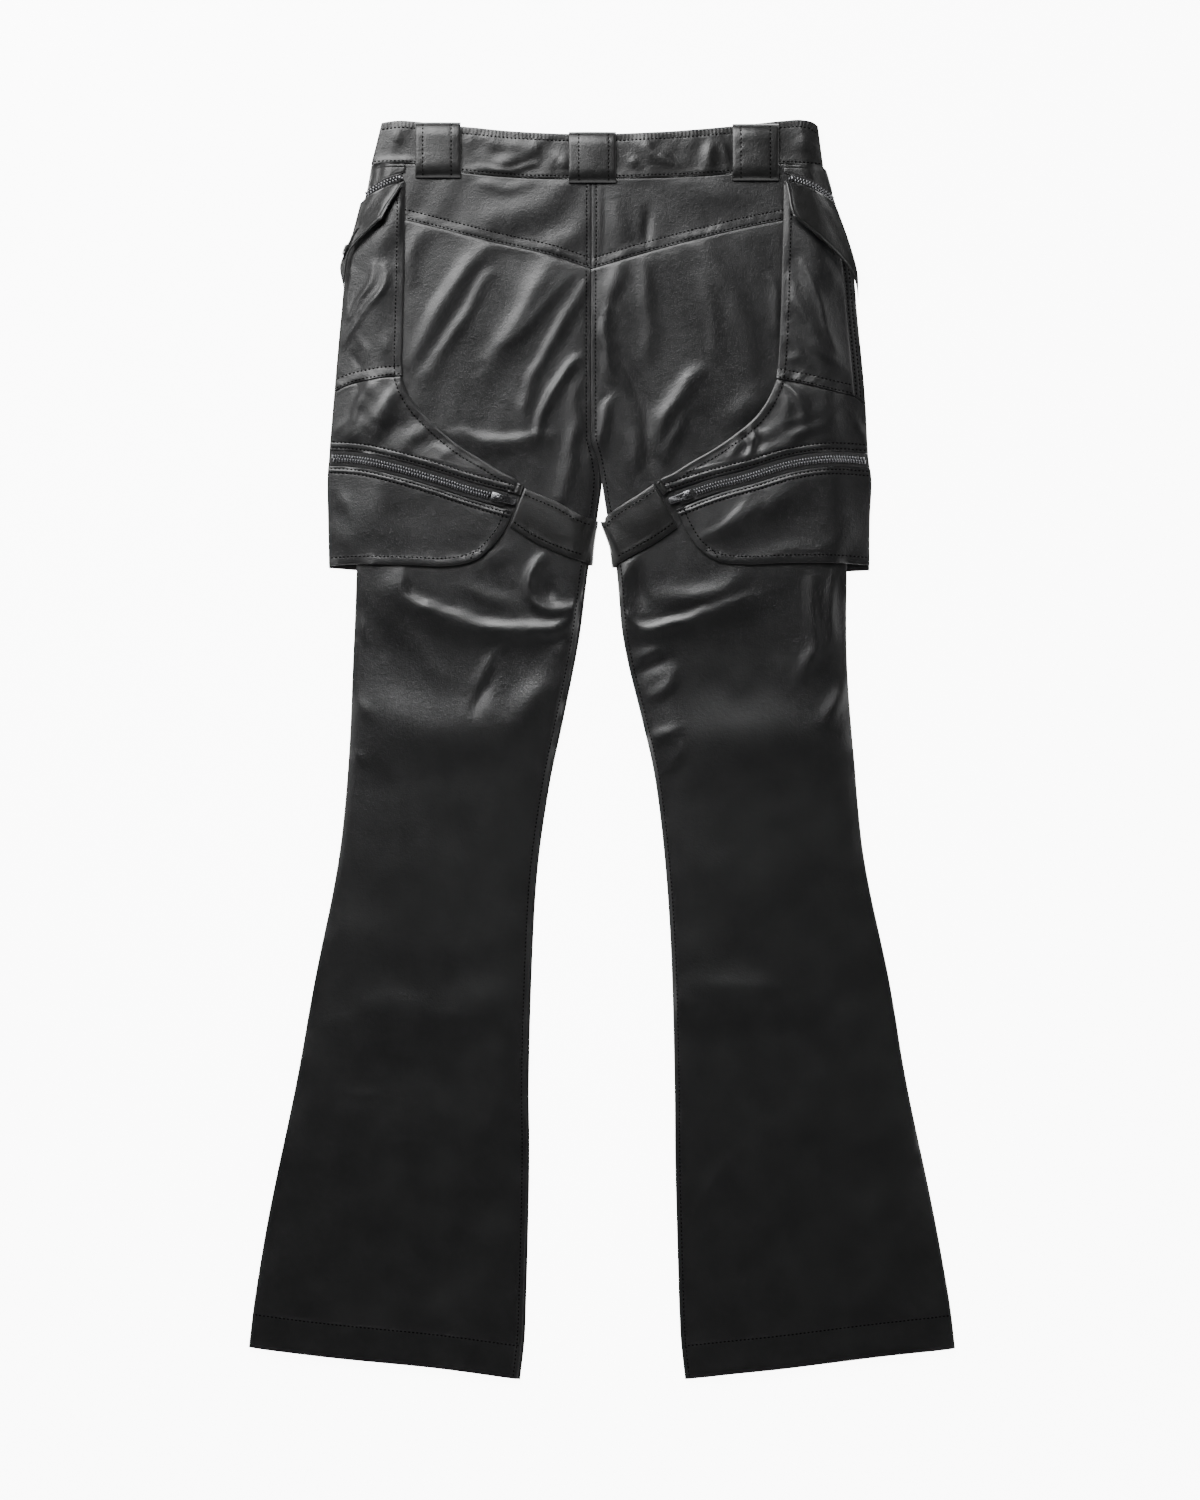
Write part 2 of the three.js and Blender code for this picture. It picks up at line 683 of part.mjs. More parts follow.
function yoke(side) {
  const shift = side === "left" ? -GAP / 2 : GAP / 2;
  const topY = BAND_SEAM[0][`${side}Y`] - GAP;
  const outer = edgeReader(OUTSEAM, side, topY, YOKE_SEAM[0][`${side}Y`]);
  const inner = (t) =>
    new THREE.Vector3(
      CENTRE_SEAM + shift,
      THREE.MathUtils.lerp(BAND_SEAM.at(-1).leftY - GAP, YOKE_SEAM.at(-1).leftY, t),
      0,
    );
  const top = belowBand(side, BAND_GAP);
  const point = planOf({ top, bottom: pathReader(YOKE_SEAM, side), outer, inner });
  const height = (x, y) => legTop(side, x, y, true);
  const geometry = wallGeometry({
    down: evenly(5),
    across: LEG_COLUMNS,
    point,
    top: raised(height),
    under: raised((x, y) => height(x, y) - CLOTH),
    flip: side === "right",
  });
  addPiece(`yoke_${side}`, geometry, SEAT_LEATHER);
}

function waistbands() {
  const upper = bandCurve(BAND_TOP);
  const lower = bandCurve(BAND_SEAM);
  const top = (t) => upper.getPointAt(t);
  const bottom = (t) => lower.getPointAt(t);
  const straight = (from, to) => (t) => from.clone().lerp(to, t);
  const point = planOf({
    top,
    bottom,
    outer: straight(top(0), bottom(0)),
    inner: straight(top(1), bottom(1)),
  });
  const across = stations([[0.012, 1], [0.04, 1], [0.96, 26], [0.988, 1], [1, 1]]);
  const back = wallGeometry({
    down: evenly(4),
    across,
    point,
    top: raised(bandTop),
    under: raised(bandUnder),
    flip: false,
  });
  addPiece("waistband_back", back, BAND_LEATHER);
  const front = wallGeometry({
    down: evenly(1),
    across: evenly(16),
    point,
    top: raised(() => BAND),
    under: raised(() => 0),
    flip: false,
  });
  addPiece("waistband_front", front, BAND_LEATHER);
}

// Belt loops: a strip that is sewn down above the band and on the yoke, and arches between
const BELT_LOOPS = rows("name x width top bottom", [
  ["left", -147, 40.5, 563, 513],
  ["centre", -8.6, 42.3, 554.4, 508.5],
  ["right", 137.7, 41.4, 561.6, 510.5],
]);

function beltLoop({ name, x, width, top, bottom }) {
  const side = x < CENTRE_SEAM ? "left" : "right";
  const point = (t, s) =>
    new THREE.Vector3(x + (s - 0.5) * width, THREE.MathUtils.lerp(top, bottom, t), 0);
  const seat = Math.max(bandUnder(x) + BAND, legTop(side, x, bottom, false)) + GAP;
  const end = (t) => Math.min(t, 1 - t) * (top - bottom);
  const arch = (t) => seat + LOOP_LOFT * Math.sqrt(roll(end(t), LOOP_ROLL));
  const geometry = wallGeometry({
    down: stations([[0.03, 1], [0.1, 1], [0.22, 1], [0.78, 3], [0.9, 1], [0.97, 1], [1, 1]]),
    across: evenly(4),
    point,
    top: (p, t) => new THREE.Vector3(p.x, p.y, arch(t) + LOOP),
    under: (p, t) => new THREE.Vector3(p.x, p.y, arch(t)),
    flip: false,
  });
  addPiece(`belt_loop_${name}`, geometry, BAND_LEATHER);
}

// Overlay panels. Their inner edge is turned and stands a little proud. The columns are
// closer at the side, where the panel rolls down past the trousers.
const OVERLAY_COLUMNS = [0, 0.02, 0.06, 0.1, 0.15, 0.21, 0.3, 0.43, 0.6, 0.8];

function overlayPanel({ name, side, plan, down, turned, hemmed }) {
  const point = planOf(plan);
  const width = (t) => point(t, 1).distanceTo(point(t, 0));
  const length = (s) => point(0, s).distanceTo(point(1, s));
  // the last columns are set by their distance from the inner edge, and the rest by a share
  const insets = turned ? [TURN_WIDTH + TURN_STEP, TURN_WIDTH, EDGE_ROUND.width, 0] : [0];
  const across = [
    ...OVERLAY_COLUMNS.map((share) => (t) => share * (1 - insets[0] / width(t))),
    ...insets.map((inset) => (t) => 1 - inset / width(t)),
  ];
  const rise = (t, s) => {
    const fromInner = turned ? (1 - s) * width(t) : Infinity;
    const fromHem = hemmed ? (1 - t) * length(s) : Infinity;
    const edge = Math.min(fromInner, fromHem);
    const turning = TURN_RISE * (1 - smoothStep(TURN_WIDTH, TURN_WIDTH + TURN_STEP, edge));
    return turning - EDGE_ROUND.drop * (1 - roll(edge, EDGE_ROUND.width));
  };
  const geometry = wallGeometry({
    down,
    across,
    point: (t, column) => point(t, column(t)),
    top: (p, t, column) =>
      new THREE.Vector3(p.x, p.y, overlayTop(side, p.x, p.y) + rise(t, column(t))),
    under: raised((x, y) => overlayUnder(side, x, y)),
    flip: side === "right",
  });
  addPiece(`${name}_${side}`, geometry, SEAT_LEATHER);
}

function overlayPanels(side) {
  const sideEdge = (from, to) => edgeReader(OVERLAY_SIDE, side, from, to);
  const boundEdge = (from, to) => edgeReader(BOUND_EDGE, side, from, to);
  const zipTop = fromSide(besideReader(POCKET_ZIP, side, POCKET_SLOT / 2), side);
  const zipBottom = fromSide(besideReader(POCKET_ZIP, side, -POCKET_SLOT / 2), side);
  const cross = fromSide(pathReader(CROSS_SEAM, side), side);
  const crossBelow = fromSide(besideReader(CROSS_SEAM, side, -SEAM_DITCH), side);
  const upperLip = fromSide(besideReader(THIGH_ZIP, side, SLOT / 2), side);
  const lowerLip = fromSide(besideReader(THIGH_ZIP, side, -SLOT / 2), side);
  const bandSeam = belowBand(side, BAND_GAP);
  overlayPanel({
    name: "pocket_top",
    side,
    plan: {
      top: partOf(bandSeam, 0, BAND_SHARE[side]),
      bottom: zipTop,
      outer: sideEdge(bandSeam(0).y, zipTop(0).y),
      inner: boundEdge(bandSeam(BAND_SHARE[side]).y, zipTop(1).y),
    },
    down: evenly(2),
    turned: false,
    hemmed: false,
  });
  const pocket = {
    top: zipBottom,
    bottom: cross,
    outer: sideEdge(zipBottom(0).y, cross(0).y),
    inner: boundEdge(zipBottom(1).y, cross(1).y),
  };
  if (side === "right") {
    // the panel ends at the side seam, and a narrow strip goes on to the side
    const join = crossingOf(cross, side, STRIP_WIDTH + GAP / 2);
    const joinY = cross(join).y;
    const inward = (reader, inset) => (t) => {
      const point = reader(t);
      return point.setX(point.x - inset(point.y));
    };
    const seamInset = (y) =>
      (STRIP_WIDTH + GAP) * smoothStep(STRIP_TOP + STRIP_BLEND.to, STRIP_TOP + STRIP_BLEND.from, y);
    pocket.outer = inward(sideEdge(zipBottom(0).y, joinY), seamInset);
    pocket.bottom = partOf(cross, join, 1);
    const outer = sideEdge(STRIP_TOP, cross(0).y);
    const inner = inward(sideEdge(STRIP_TOP, joinY), () => STRIP_WIDTH);
    overlayPanel({
      name: "side_strip",
      side,
      plan: {
        top: (t) => outer(0).lerp(inner(0), t),
        bottom: partOf(cross, 0, join),
        outer,
        inner,
      },
      down: evenly(6),
      turned: false,
      hemmed: false,
    });
  }
  overlayPanel({ name: "pocket_panel", side, plan: pocket, down: evenly(13), turned: true, hemmed: false });
  overlayPanel({
    name: "side_panel",
    side,
    plan: {
      top: crossBelow,
      bottom: upperLip,
      outer: sideEdge(crossBelow(0).y, upperLip(0).y),
      inner: pathReader(PANEL_TIP, side),
    },
    down: evenly(12),
    turned: true,
    hemmed: false,
  });
  overlayPanel({
    name: "cuff_panel",
    side,
    plan: {
      top: lowerLip,
      bottom: pathReader(CUFF_HEM, side),
      outer: sideEdge(lowerLip(0).y, CUFF_HEM[0][`${side}Y`]),
      inner: pathReader(CUFF_SIDE, side),
    },
    down: stations([[0.84, 7], [0.92, 2], [0.985, 1], [1, 1]]),
    turned: true,
    hemmed: true,
  });
}

// The overlay's front, of which only the hem shows
function shortsFront(side) {
  const outer = edgeReader(OVERLAY_SIDE, side, BAND_SEAM[0][`${side}Y`] - GAP, SHORTS_HEM[0][`${side}Y`]);
  const point = planOf({
    top: belowBand(side, HIDDEN_GAP),
    bottom: pathReader(SHORTS_HEM, side),
    outer,
    inner: pathReader(SHORTS_INNER, side),
  });
  const geometry = wallGeometry({
    down: evenly(14),
    across: evenly(4),
    point,
    top: raised(() => HEM_CLOTH),
    under: raised(() => 0),
    flip: side === "right",
  });
  addPiece(`shorts_front_${side}`, geometry, FLAT_LEATHER);
}

// Pocket flap: sewn to the pocket panel along its upper edge, off it below, and past its side
function pocketFlap(side) {
  const point = planOf({
    top: pathReader(FLAP_SEAM, side),
    bottom: pathReader(FLAP_EDGE, side),
    outer: pathReader(FLAP_SIDE, side),
    inner: pathReader(FLAP_INNER, side),
  });
  const sign = side === "left" ? 1 : -1;
  const height = ({ x, y }, t) => {
    const edge = edgeAt(OVERLAY_SIDE, side, y);
    const within = sign * Math.max(sign * x, sign * edge + SIDE_ROLL_LEAST);
    const inward = sign * (edgeAt(BOUND_EDGE, side, y) - x);
    const turned = TURN_WIDTH + TURN_STEP;
    const turning = TURN_RISE * (1 - smoothStep(turned, turned + FLAP_STEP, inward));
    const lift = TURN_RISE - turning + FLAP_LOFT * roll(sign * (x - edge), FLAP_ROLL);
    return overlayTop(side, within, y) + turning + GAP + lift * roll(t, FLAP_SEAM_SHARE);
  };
  const geometry = wallGeometry({
    down: evenly(8),
    across: evenly(7),
    point,
    top: (p, t) => new THREE.Vector3(p.x, p.y, height(p, t) + FLAP),
    under: (p, t) => new THREE.Vector3(p.x, p.y, height(p, t)),
    flip: side === "right",
  });
  addPiece(`pocket_flap_${side}`, geometry, BAND_LEATHER);
}

// Zips: a strip of tape between the lips, and a chain along its middle
function zipStrip({ name, side, table, half, from, to, count, under, thickness, material }) {
  const upper = partOf(fromSide(besideReader(table, side, half), side), from, to);
  const lower = partOf(fromSide(besideReader(table, side, -half), side), from, to);
  const point = (t, s) => upper(s).lerp(lower(s), t);
  const geometry = wallGeometry({
    down: evenly(2),
    across: evenly(count),
    point,
    top: raised((x, y) => under(x, y) + thickness),
    under: raised(under),
    flip: side === "right",
  });
  addPiece(`${name}_${side}`, geometry, material);
}

function zips(side) {
  const base = (x, y) => overlayUnder(side, x, y);
  zipStrip({
    name: "pocket_zip",
    side,
    table: POCKET_ZIP,
    half: POCKET_SLOT / 2 - 3 * GAP,
    from: 0.03,
    to: 0.95,
    count: 10,
    under: base,
    thickness: TAPE + POCKET_TEETH,
    material: ZIP_TAPE,
  });
  zipStrip({
    name: "thigh_tape",
    side,
    table: THIGH_ZIP,
    half: SLOT / 2 - GAP,
    from: 0.01,
    to: 0.99,
    count: 16,
    under: base,
    thickness: TAPE,
    material: ZIP_TAPE,
  });
  zipStrip({
    name: "thigh_chain",
    side,
    table: THIGH_ZIP,
    half: CHAIN.width / 2,
    from: 0.02,
    to: 0.9,
    count: 16,
    under: (x, y) => base(x, y) + TAPE + CHAIN_LIFT,
    thickness: CHAIN.height,
    material: ZIP_METAL,
  });
}

// A closed solid for joining
const SAME_POINT = 1e-4;

function solidOf(geometry) {
  geometry.deleteAttribute("normal");
  geometry.deleteAttribute("uv");
  const merged = mergeVertices(geometry, SAME_POINT);
  return new wasm.Manifold(
    new wasm.Mesh({
      numProp: 3,
      vertProperties: new Float32Array(merged.attributes.position.array),
      triVerts: new Uint32Array(merged.index.array),
    }),
  );
}

function geometryOf(solid) {
  const mesh = solid.getMesh();
  const geometry = new THREE.BufferGeometry();
  geometry.setAttribute("position", new THREE.Float32BufferAttribute(mesh.vertProperties, 3));
  geometry.setIndex(new THREE.Uint32BufferAttribute(mesh.triVerts, 1));
  geometry.computeVertexNormals();
  return geometry;
}

// The slider, with its nose towards +X and the pull's axis over its origin
function sliderGeometry() {
  const { back, nose, corner, neck } = SLIDER;
  const half = SLIDER.width / 2;
  const noseHalf = SLIDER.noseWidth / 2;
  const body = new THREE.Shape();
  body.moveTo(-back, -half + corner);
  body.quadraticCurveTo(-back, -half, -back + corner, -half);
  body.lineTo(-neck, -half);
  body.lineTo(nose, -noseHalf);
  body.lineTo(nose, noseHalf);
  body.lineTo(-neck, half);
  body.lineTo(-back + corner, half);
  body.quadraticCurveTo(-back, half, -back, half - corner);
  body.closePath();
  const block = new THREE.ExtrudeGeometry(body, {
    depth: SLIDER.height,
    bevelEnabled: false,
    curveSegments: 3,
  });
  const profile = new THREE.Shape();
  const shoulder = CROWN_SHOULDER;
  profile.moveTo(-CROWN.back, -CROWN.sunk);
  profile.lineTo(-CROWN.back + shoulder.length, CROWN.rise - shoulder.drop);
  profile.quadraticCurveTo(-shoulder.top, CROWN.rise, 0, CROWN.rise);
  profile.quadraticCurveTo(CROWN.front, CROWN.rise, CROWN.front, CROWN.axis);
  profile.lineTo(CROWN.front, -CROWN.sunk);
  profile.closePath();
  const hole = new THREE.Path();
  hole.absarc(0, CROWN.axis, CROWN.hole, 0, Math.PI * 2, false);
  profile.holes.push(hole);
  const crown = new THREE.ExtrudeGeometry(profile, {
    depth: CROWN.width,
    bevelEnabled: false,
    curveSegments: 5,
  });
  crown.rotateX(Math.PI / 2);
  crown.translate(0, CROWN.width / 2, SLIDER.height);
  return geometryOf(solidOf(block).add(solidOf(crown)));
}

// The pull tab, with its cross-bar on the Y axis
function pullGeometry() {
  const outline = new THREE.Shape();
  const half = PULL.width / 2;
  const endHalf = half - PULL_END.taper;
  const { length, bar } = PULL;
  const { corner } = PULL_END;
  outline.moveTo(-bar, -half);
  outline.lineTo(length - corner, -endHalf);
  outline.quadraticCurveTo(length, -endHalf, length, -endHalf + corner);
  outline.lineTo(length, endHalf - corner);
  outline.quadraticCurveTo(length, endHalf, length - corner, endHalf);
  outline.lineTo(-bar, half);
  outline.closePath();
  const slot = new THREE.Path();
  const slotHalf = PULL.windowWidth / 2;
  slot.moveTo(bar, -slotHalf);
  slot.lineTo(bar, slotHalf);
  slot.lineTo(PULL.window, slotHalf);
  slot.lineTo(PULL.window, -slotHalf);
  slot.closePath();
  outline.holes.push(slot);
  const tab = new THREE.ExtrudeGeometry(outline, {
    depth: PULL.thickness,
    bevelEnabled: false,
    curveSegments: 3,
  });
  tab.translate(0, 0, -PULL.thickness / 2);
  return geometryOf(solidOf(tab));
}

const SLIDER_SHARE = 0.955; // how far along the zip the pull's axis is

function sliderAndPull(side) {
  const curve = pathOf(THIGH_ZIP, side);
  const seat = curve.getPointAt(SLIDER_SHARE);
  const tangent = curve.getTangentAt(SLIDER_SHARE);
  const holder = new THREE.Group();
  holder.position.set(seat.x, seat.y, overlayUnder(side, seat.x, seat.y) + TAPE + CHAIN_LIFT);
  holder.rotation.z = Math.atan2(tangent.y, tangent.x);
  const slider = addPiece(`zip_slider_${side}`, sliderGeometry(), ZIP_METAL);
  const pull = addPiece(`pull_tab_${side}`, pullGeometry(), ZIP_METAL);
  pull.position.z = SLIDER.height + CROWN.axis;
  pull.rotation.y = THREE.MathUtils.degToRad(PULL_DROP);
  holder.add(slider, pull);
  trousers.add(holder);
}

// Strap round the inner thigh: over the back, round the edge and under the front
function strap(side) {
  const upper = pathOf(STRAP_TOP, side);
  const lower = pathOf(STRAP_BOTTOM, side);
  const underTop = new THREE.Vector3(STRAP_END[0][`${side}X`], STRAP_END[0][`${side}Y`], 0);
  const underBottom = new THREE.Vector3(STRAP_END[1][`${side}X`], STRAP_END[1][`${side}Y`], 0);
  const sign = side === "left" ? 1 : -1;
  const overSteps = 9;
  const bendSteps = 6;
  const over = evenly(overSteps);
  const bend = evenly(bendSteps).slice(1, -1);
  const under = evenly(3);
  const stops = [
    ...over.map((t) => ({ part: "over", t })),
    ...bend.map((t) => ({ part: "bend", t })),
    ...under.map((t) => ({ part: "under", t })),
  ];
  const foldX = (w) => THREE.MathUtils.lerp(upper.getPointAt(1).x, lower.getPointAt(1).x, w);
  const foldY = (w) => THREE.MathUtils.lerp(upper.getPointAt(1).y, lower.getPointAt(1).y, w);
  const overHeight = (x, y) => legTop(side, x, y, false) + GAP + STRAP_LOFT;
  const pointAt = (stop, w, outside) => {
    const skin = outside ? HEM_CLOTH : 0;
    const edgeHeight = overHeight(foldX(w), foldY(w));
    const radius = (edgeHeight - HEM_CLOTH) / 2;
    const centreX = foldX(w) - sign * (radius + HEM_CLOTH);
    if (stop.part === "bend") {
      const angle = Math.PI / 2 - Math.PI * stop.t;
      return new THREE.Vector3(
        centreX + sign * (radius + skin) * Math.cos(angle),
        foldY(w),
        HEM_CLOTH + radius + (radius + skin) * Math.sin(angle),
      );
    }
    if (stop.part === "over") {
      const point = upper.getPointAt(stop.t).lerp(lower.getPointAt(stop.t), w);
      point.x = THREE.MathUtils.lerp(point.x, centreX, stop.t ** 3);
      const settled = smoothStep(STRAP_SETTLE, 1, stop.t);
      point.z = THREE.MathUtils.lerp(overHeight(point.x, point.y), edgeHeight, settled) + skin;
      return point;
    }
    const end = underTop.clone().lerp(underBottom, w);
    const point = new THREE.Vector3(centreX, foldY(w), 0).lerp(end, stop.t);
    point.z = outside ? 0 : HEM_CLOTH;
    return point;
  };
  const point = (t, s) => ({ stop: stops[s], w: t });
  const geometry = wallGeometry({
    down: evenly(3),
    across: stops.map((_, i) => i),
    point,
    top: ({ stop, w }) => pointAt(stop, w, true),
    under: ({ stop, w }) => pointAt(stop, w, false),
    flip: side === "right",
  });
  addPiece(`strap_${side}`, geometry, BAND_LEATHER);
}

// The keeper, a folded end that holds the zip's end down
const KEEPER = rows("side startX startY endX endY", [
  ["left", -73.2, 238.6, -76.4, 229.5],
  ["right", 50.2, 240.6, 57.6, 230.6],
]);
const KEEPER_WIDTH = 6.6;
const KEEPER_HEIGHT = 1.6;
const KEEPER_RIM = 0.5; // its height along its two long edges

function keeper({ side, startX, startY, endX, endY }) {
  const start = new THREE.Vector3(startX, startY, 0);
  const end = new THREE.Vector3(endX, endY, 0);
  const along = end.clone().sub(start).normalize();
  const across = new THREE.Vector3(-along.y, along.x, 0).multiplyScalar(KEEPER_WIDTH / 2);
  const point = (t, s) => start.clone().lerp(end, t).addScaledVector(across, 2 * s - 1);
  const base = overlayTop(side, startX, startY) + TURN_RISE + GAP;
  const crest = (s) => KEEPER_RIM + (KEEPER_HEIGHT - KEEPER_RIM) * Math.sqrt(Math.sin(Math.PI * s));
  const geometry = wallGeometry({
    down: evenly(2),
    across: evenly(6),
    point,
    top: (p, t, s) => new THREE.Vector3(p.x, p.y, base + crest(s)),
    under: raised(() => base),
    flip: false,
  });
  addPiece(`keeper_${side}`, geometry, BAND_LEATHER);
}

for (const side of SIDES) {
  legBack(side);
  legFront(side);
  yoke(side);
  shortsFront(side);
  overlayPanels(side);
  pocketFlap(side);
  zips(side);
  sliderAndPull(side);
  strap(side);
}
waistbands();
BELT_LOOPS.forEach(beltLoop);
KEEPER.forEach(keeper);

export default trousers;
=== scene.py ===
# %% [markdown]
# # Leather trousers, laid flat
# This lesson dresses the plain solids of a pair of flared trousers in coated black leather.
# The garment lies with its back up: a waistband with three wide loops, a pointed yoke, flared
# legs, and over the thighs a second layer with pockets, curved zips and straps.
# All sizes are real ones in millimetres and are turned into metres where a mesh is made.

import math

import bmesh
import bpy
import numpy as np
from mathutils import Matrix, Vector
from mathutils.bvhtree import BVHTree


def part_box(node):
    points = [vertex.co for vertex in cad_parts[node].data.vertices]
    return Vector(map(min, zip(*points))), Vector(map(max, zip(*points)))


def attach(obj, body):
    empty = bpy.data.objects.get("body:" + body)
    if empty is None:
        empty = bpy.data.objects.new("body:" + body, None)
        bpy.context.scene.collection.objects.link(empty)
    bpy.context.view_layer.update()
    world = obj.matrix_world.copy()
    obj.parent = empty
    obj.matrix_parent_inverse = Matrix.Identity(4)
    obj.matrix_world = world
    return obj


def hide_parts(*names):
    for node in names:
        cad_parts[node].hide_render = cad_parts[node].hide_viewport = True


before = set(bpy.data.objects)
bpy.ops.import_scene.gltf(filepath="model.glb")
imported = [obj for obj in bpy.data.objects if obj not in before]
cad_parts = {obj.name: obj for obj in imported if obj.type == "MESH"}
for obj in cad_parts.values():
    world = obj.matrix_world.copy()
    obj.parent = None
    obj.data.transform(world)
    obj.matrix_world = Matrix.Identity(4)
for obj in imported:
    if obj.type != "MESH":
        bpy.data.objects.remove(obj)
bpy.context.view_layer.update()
MM = 0.001
SIDES = ("left", "right")

# %% [markdown]
# ## Camera
# The garment was photographed from straight above. A long lens keeps the edges of so flat a
# thing undistorted, so the camera stands three metres up with an 80 mm lens. The picture is
# 1200 by 1500, so the longer, upright side of the frame is the one that the sensor fits.

# %% Place the camera
PICTURE_HEIGHT = 1350 * MM  # what the frame covers on the floor
PICTURE_CENTRE = (-1.8 * MM, 0.0)
CAMERA_HEIGHT = 3.0
SENSOR = 36.0

camera_data = bpy.data.cameras.new("camera")
camera_data.sensor_fit = "VERTICAL"
camera_data.sensor_height = SENSOR
camera_data.lens = SENSOR * CAMERA_HEIGHT / PICTURE_HEIGHT
camera = bpy.data.objects.new("camera", camera_data)
camera.location = (*PICTURE_CENTRE, CAMERA_HEIGHT)
bpy.context.scene.collection.objects.link(camera)
bpy.context.scene.camera = camera
print("lens", round(camera_data.lens, 1), "mm")

# %% [markdown]
# ## Light
# Black leather shows its form only in what it mirrors. One large softbox stands beyond the
# waistband on the left, so that the seat catches a broad sheen and the hems stay dark. A small
# one with a grid, which narrows its light, brightens the thighs and knees. Weak ones at the
# sides and the foot lift the edges. The world is a plain pale room.

# %% Make the softboxes
WHITE = (1.0, 1.0, 1.0, 1.0)
ROOM_LIGHT = 0.08
LIGHTS = (
    # name, place, aimed at, width, height, watts, spread in degrees
    ("softbox_head", (-0.6, 1.32, 1.4), (-0.05, 0.2, 0.0), 1.3, 0.9, 57.0, 180),
    ("softbox_legs", (-0.3, 1.5, 2.3), (-0.02, -0.24, 0.0), 0.5, 0.4, 1.1, 26),
    ("softbox_left", (-2.9, -0.1, 1.3), (0.0, -0.1, 0.0), 3.4, 2.2, 36.0, 180),
    ("softbox_right", (2.9, -0.2, 1.3), (0.0, -0.1, 0.0), 3.4, 2.2, 50.0, 180),
    ("softbox_foot", (0.1, -3.1, 1.2), (0.0, -0.3, 0.0), 3.4, 2.0, 64.0, 180),
)
for name, place, target, width, height, watts, spread in LIGHTS:
    data = bpy.data.lights.new(name, "AREA")
    data.shape = "RECTANGLE"
    data.size = width
    data.size_y = height
    data.energy = watts
    data.spread = math.radians(spread)
    light = bpy.data.objects.new(name, data)
    light.location = place
    aim = Vector(target) - Vector(place)
    light.rotation_euler = aim.to_track_quat("-Z", "Y").to_euler()
    light.visible_camera = False
    bpy.context.scene.collection.objects.link(light)

world = bpy.data.worlds.new("pale_room")
bpy.context.scene.world = world
world.use_nodes = True
background = world.node_tree.nodes["Background"]
background.inputs["Color"].default_value = WHITE
background.inputs["Strength"].default_value = ROOM_LIGHT
print(len(LIGHTS), "softboxes")

# %% [markdown]
# ## Materials
# One helper turns sRGB hex colours into Blender's linear ones, and one adds a node with its
# settings and links. Every material starts from a Principled shader.

# %% Helpers for materials
def linear(hex_colour):
    channels = [int(hex_colour[i:i + 2], 16) / 255 for i in (1, 3, 5)]
    curve = [c / 12.92 if c <= 0.04045 else ((c + 0.055) / 1.055) ** 2.4 for c in channels]
    return (*curve, 1.0)


def add_node(tree, kind, links=(), **settings):
    """Adds a node. Settings name its inputs or its own properties, links are (input, socket)."""
    node = tree.nodes.new(kind)
    for key, value in settings.items():
        if key in node.bl_rna.properties:
            setattr(node, key, value)
        else:
            node.inputs[key.replace("_", " ").title()].default_value = value
    for socket, source in links:
        tree.links.new(source, node.inputs[socket])
    return node


def start_material(name, colour, roughness, metallic=0.0, ior=1.5):
    material = bpy.data.materials.new(name)
    material.use_nodes = True
    tree = material.node_tree
    shader = tree.nodes["Principled BSDF"]
    shader.inputs["Base Color"].default_value = linear(colour)
    shader.inputs["Roughness"].default_value = roughness
    shader.inputs["Metallic"].default_value = metallic
    shader.inputs["IOR"].default_value = ior
    place = add_node(tree, "ShaderNodeTexCoord").outputs["Object"]
    return material, tree, shader, place


# %% [markdown]
# ### Coated leather
# Faux leather is a knitted cloth with a coat of polyurethane, embossed by a roller with the
# pores of hide. The coat has an IOR near 1.5 and is satin, not glossy. The real grain is
# about half a millimetre wide, finer than a pixel of the render, so it is drawn at 1.2 mm.
# A broader mottling in roughness is where the coat has been stretched and rubbed.

# %% Coated leather
GRAIN = 1.2  # mm, twice the real grain so that it shows
PEBBLE = 3.2  # mm, the uneven backing that shows through the coat
MOTTLE = 26.0  # mm, patches where the coat is a little duller or brighter
RUB = 5.0  # mm, small rubbed marks
GRAIN_DEPTH = 0.12 * MM
RUBBED = (0.12, 0.42)  # lowest and highest product of the two noises


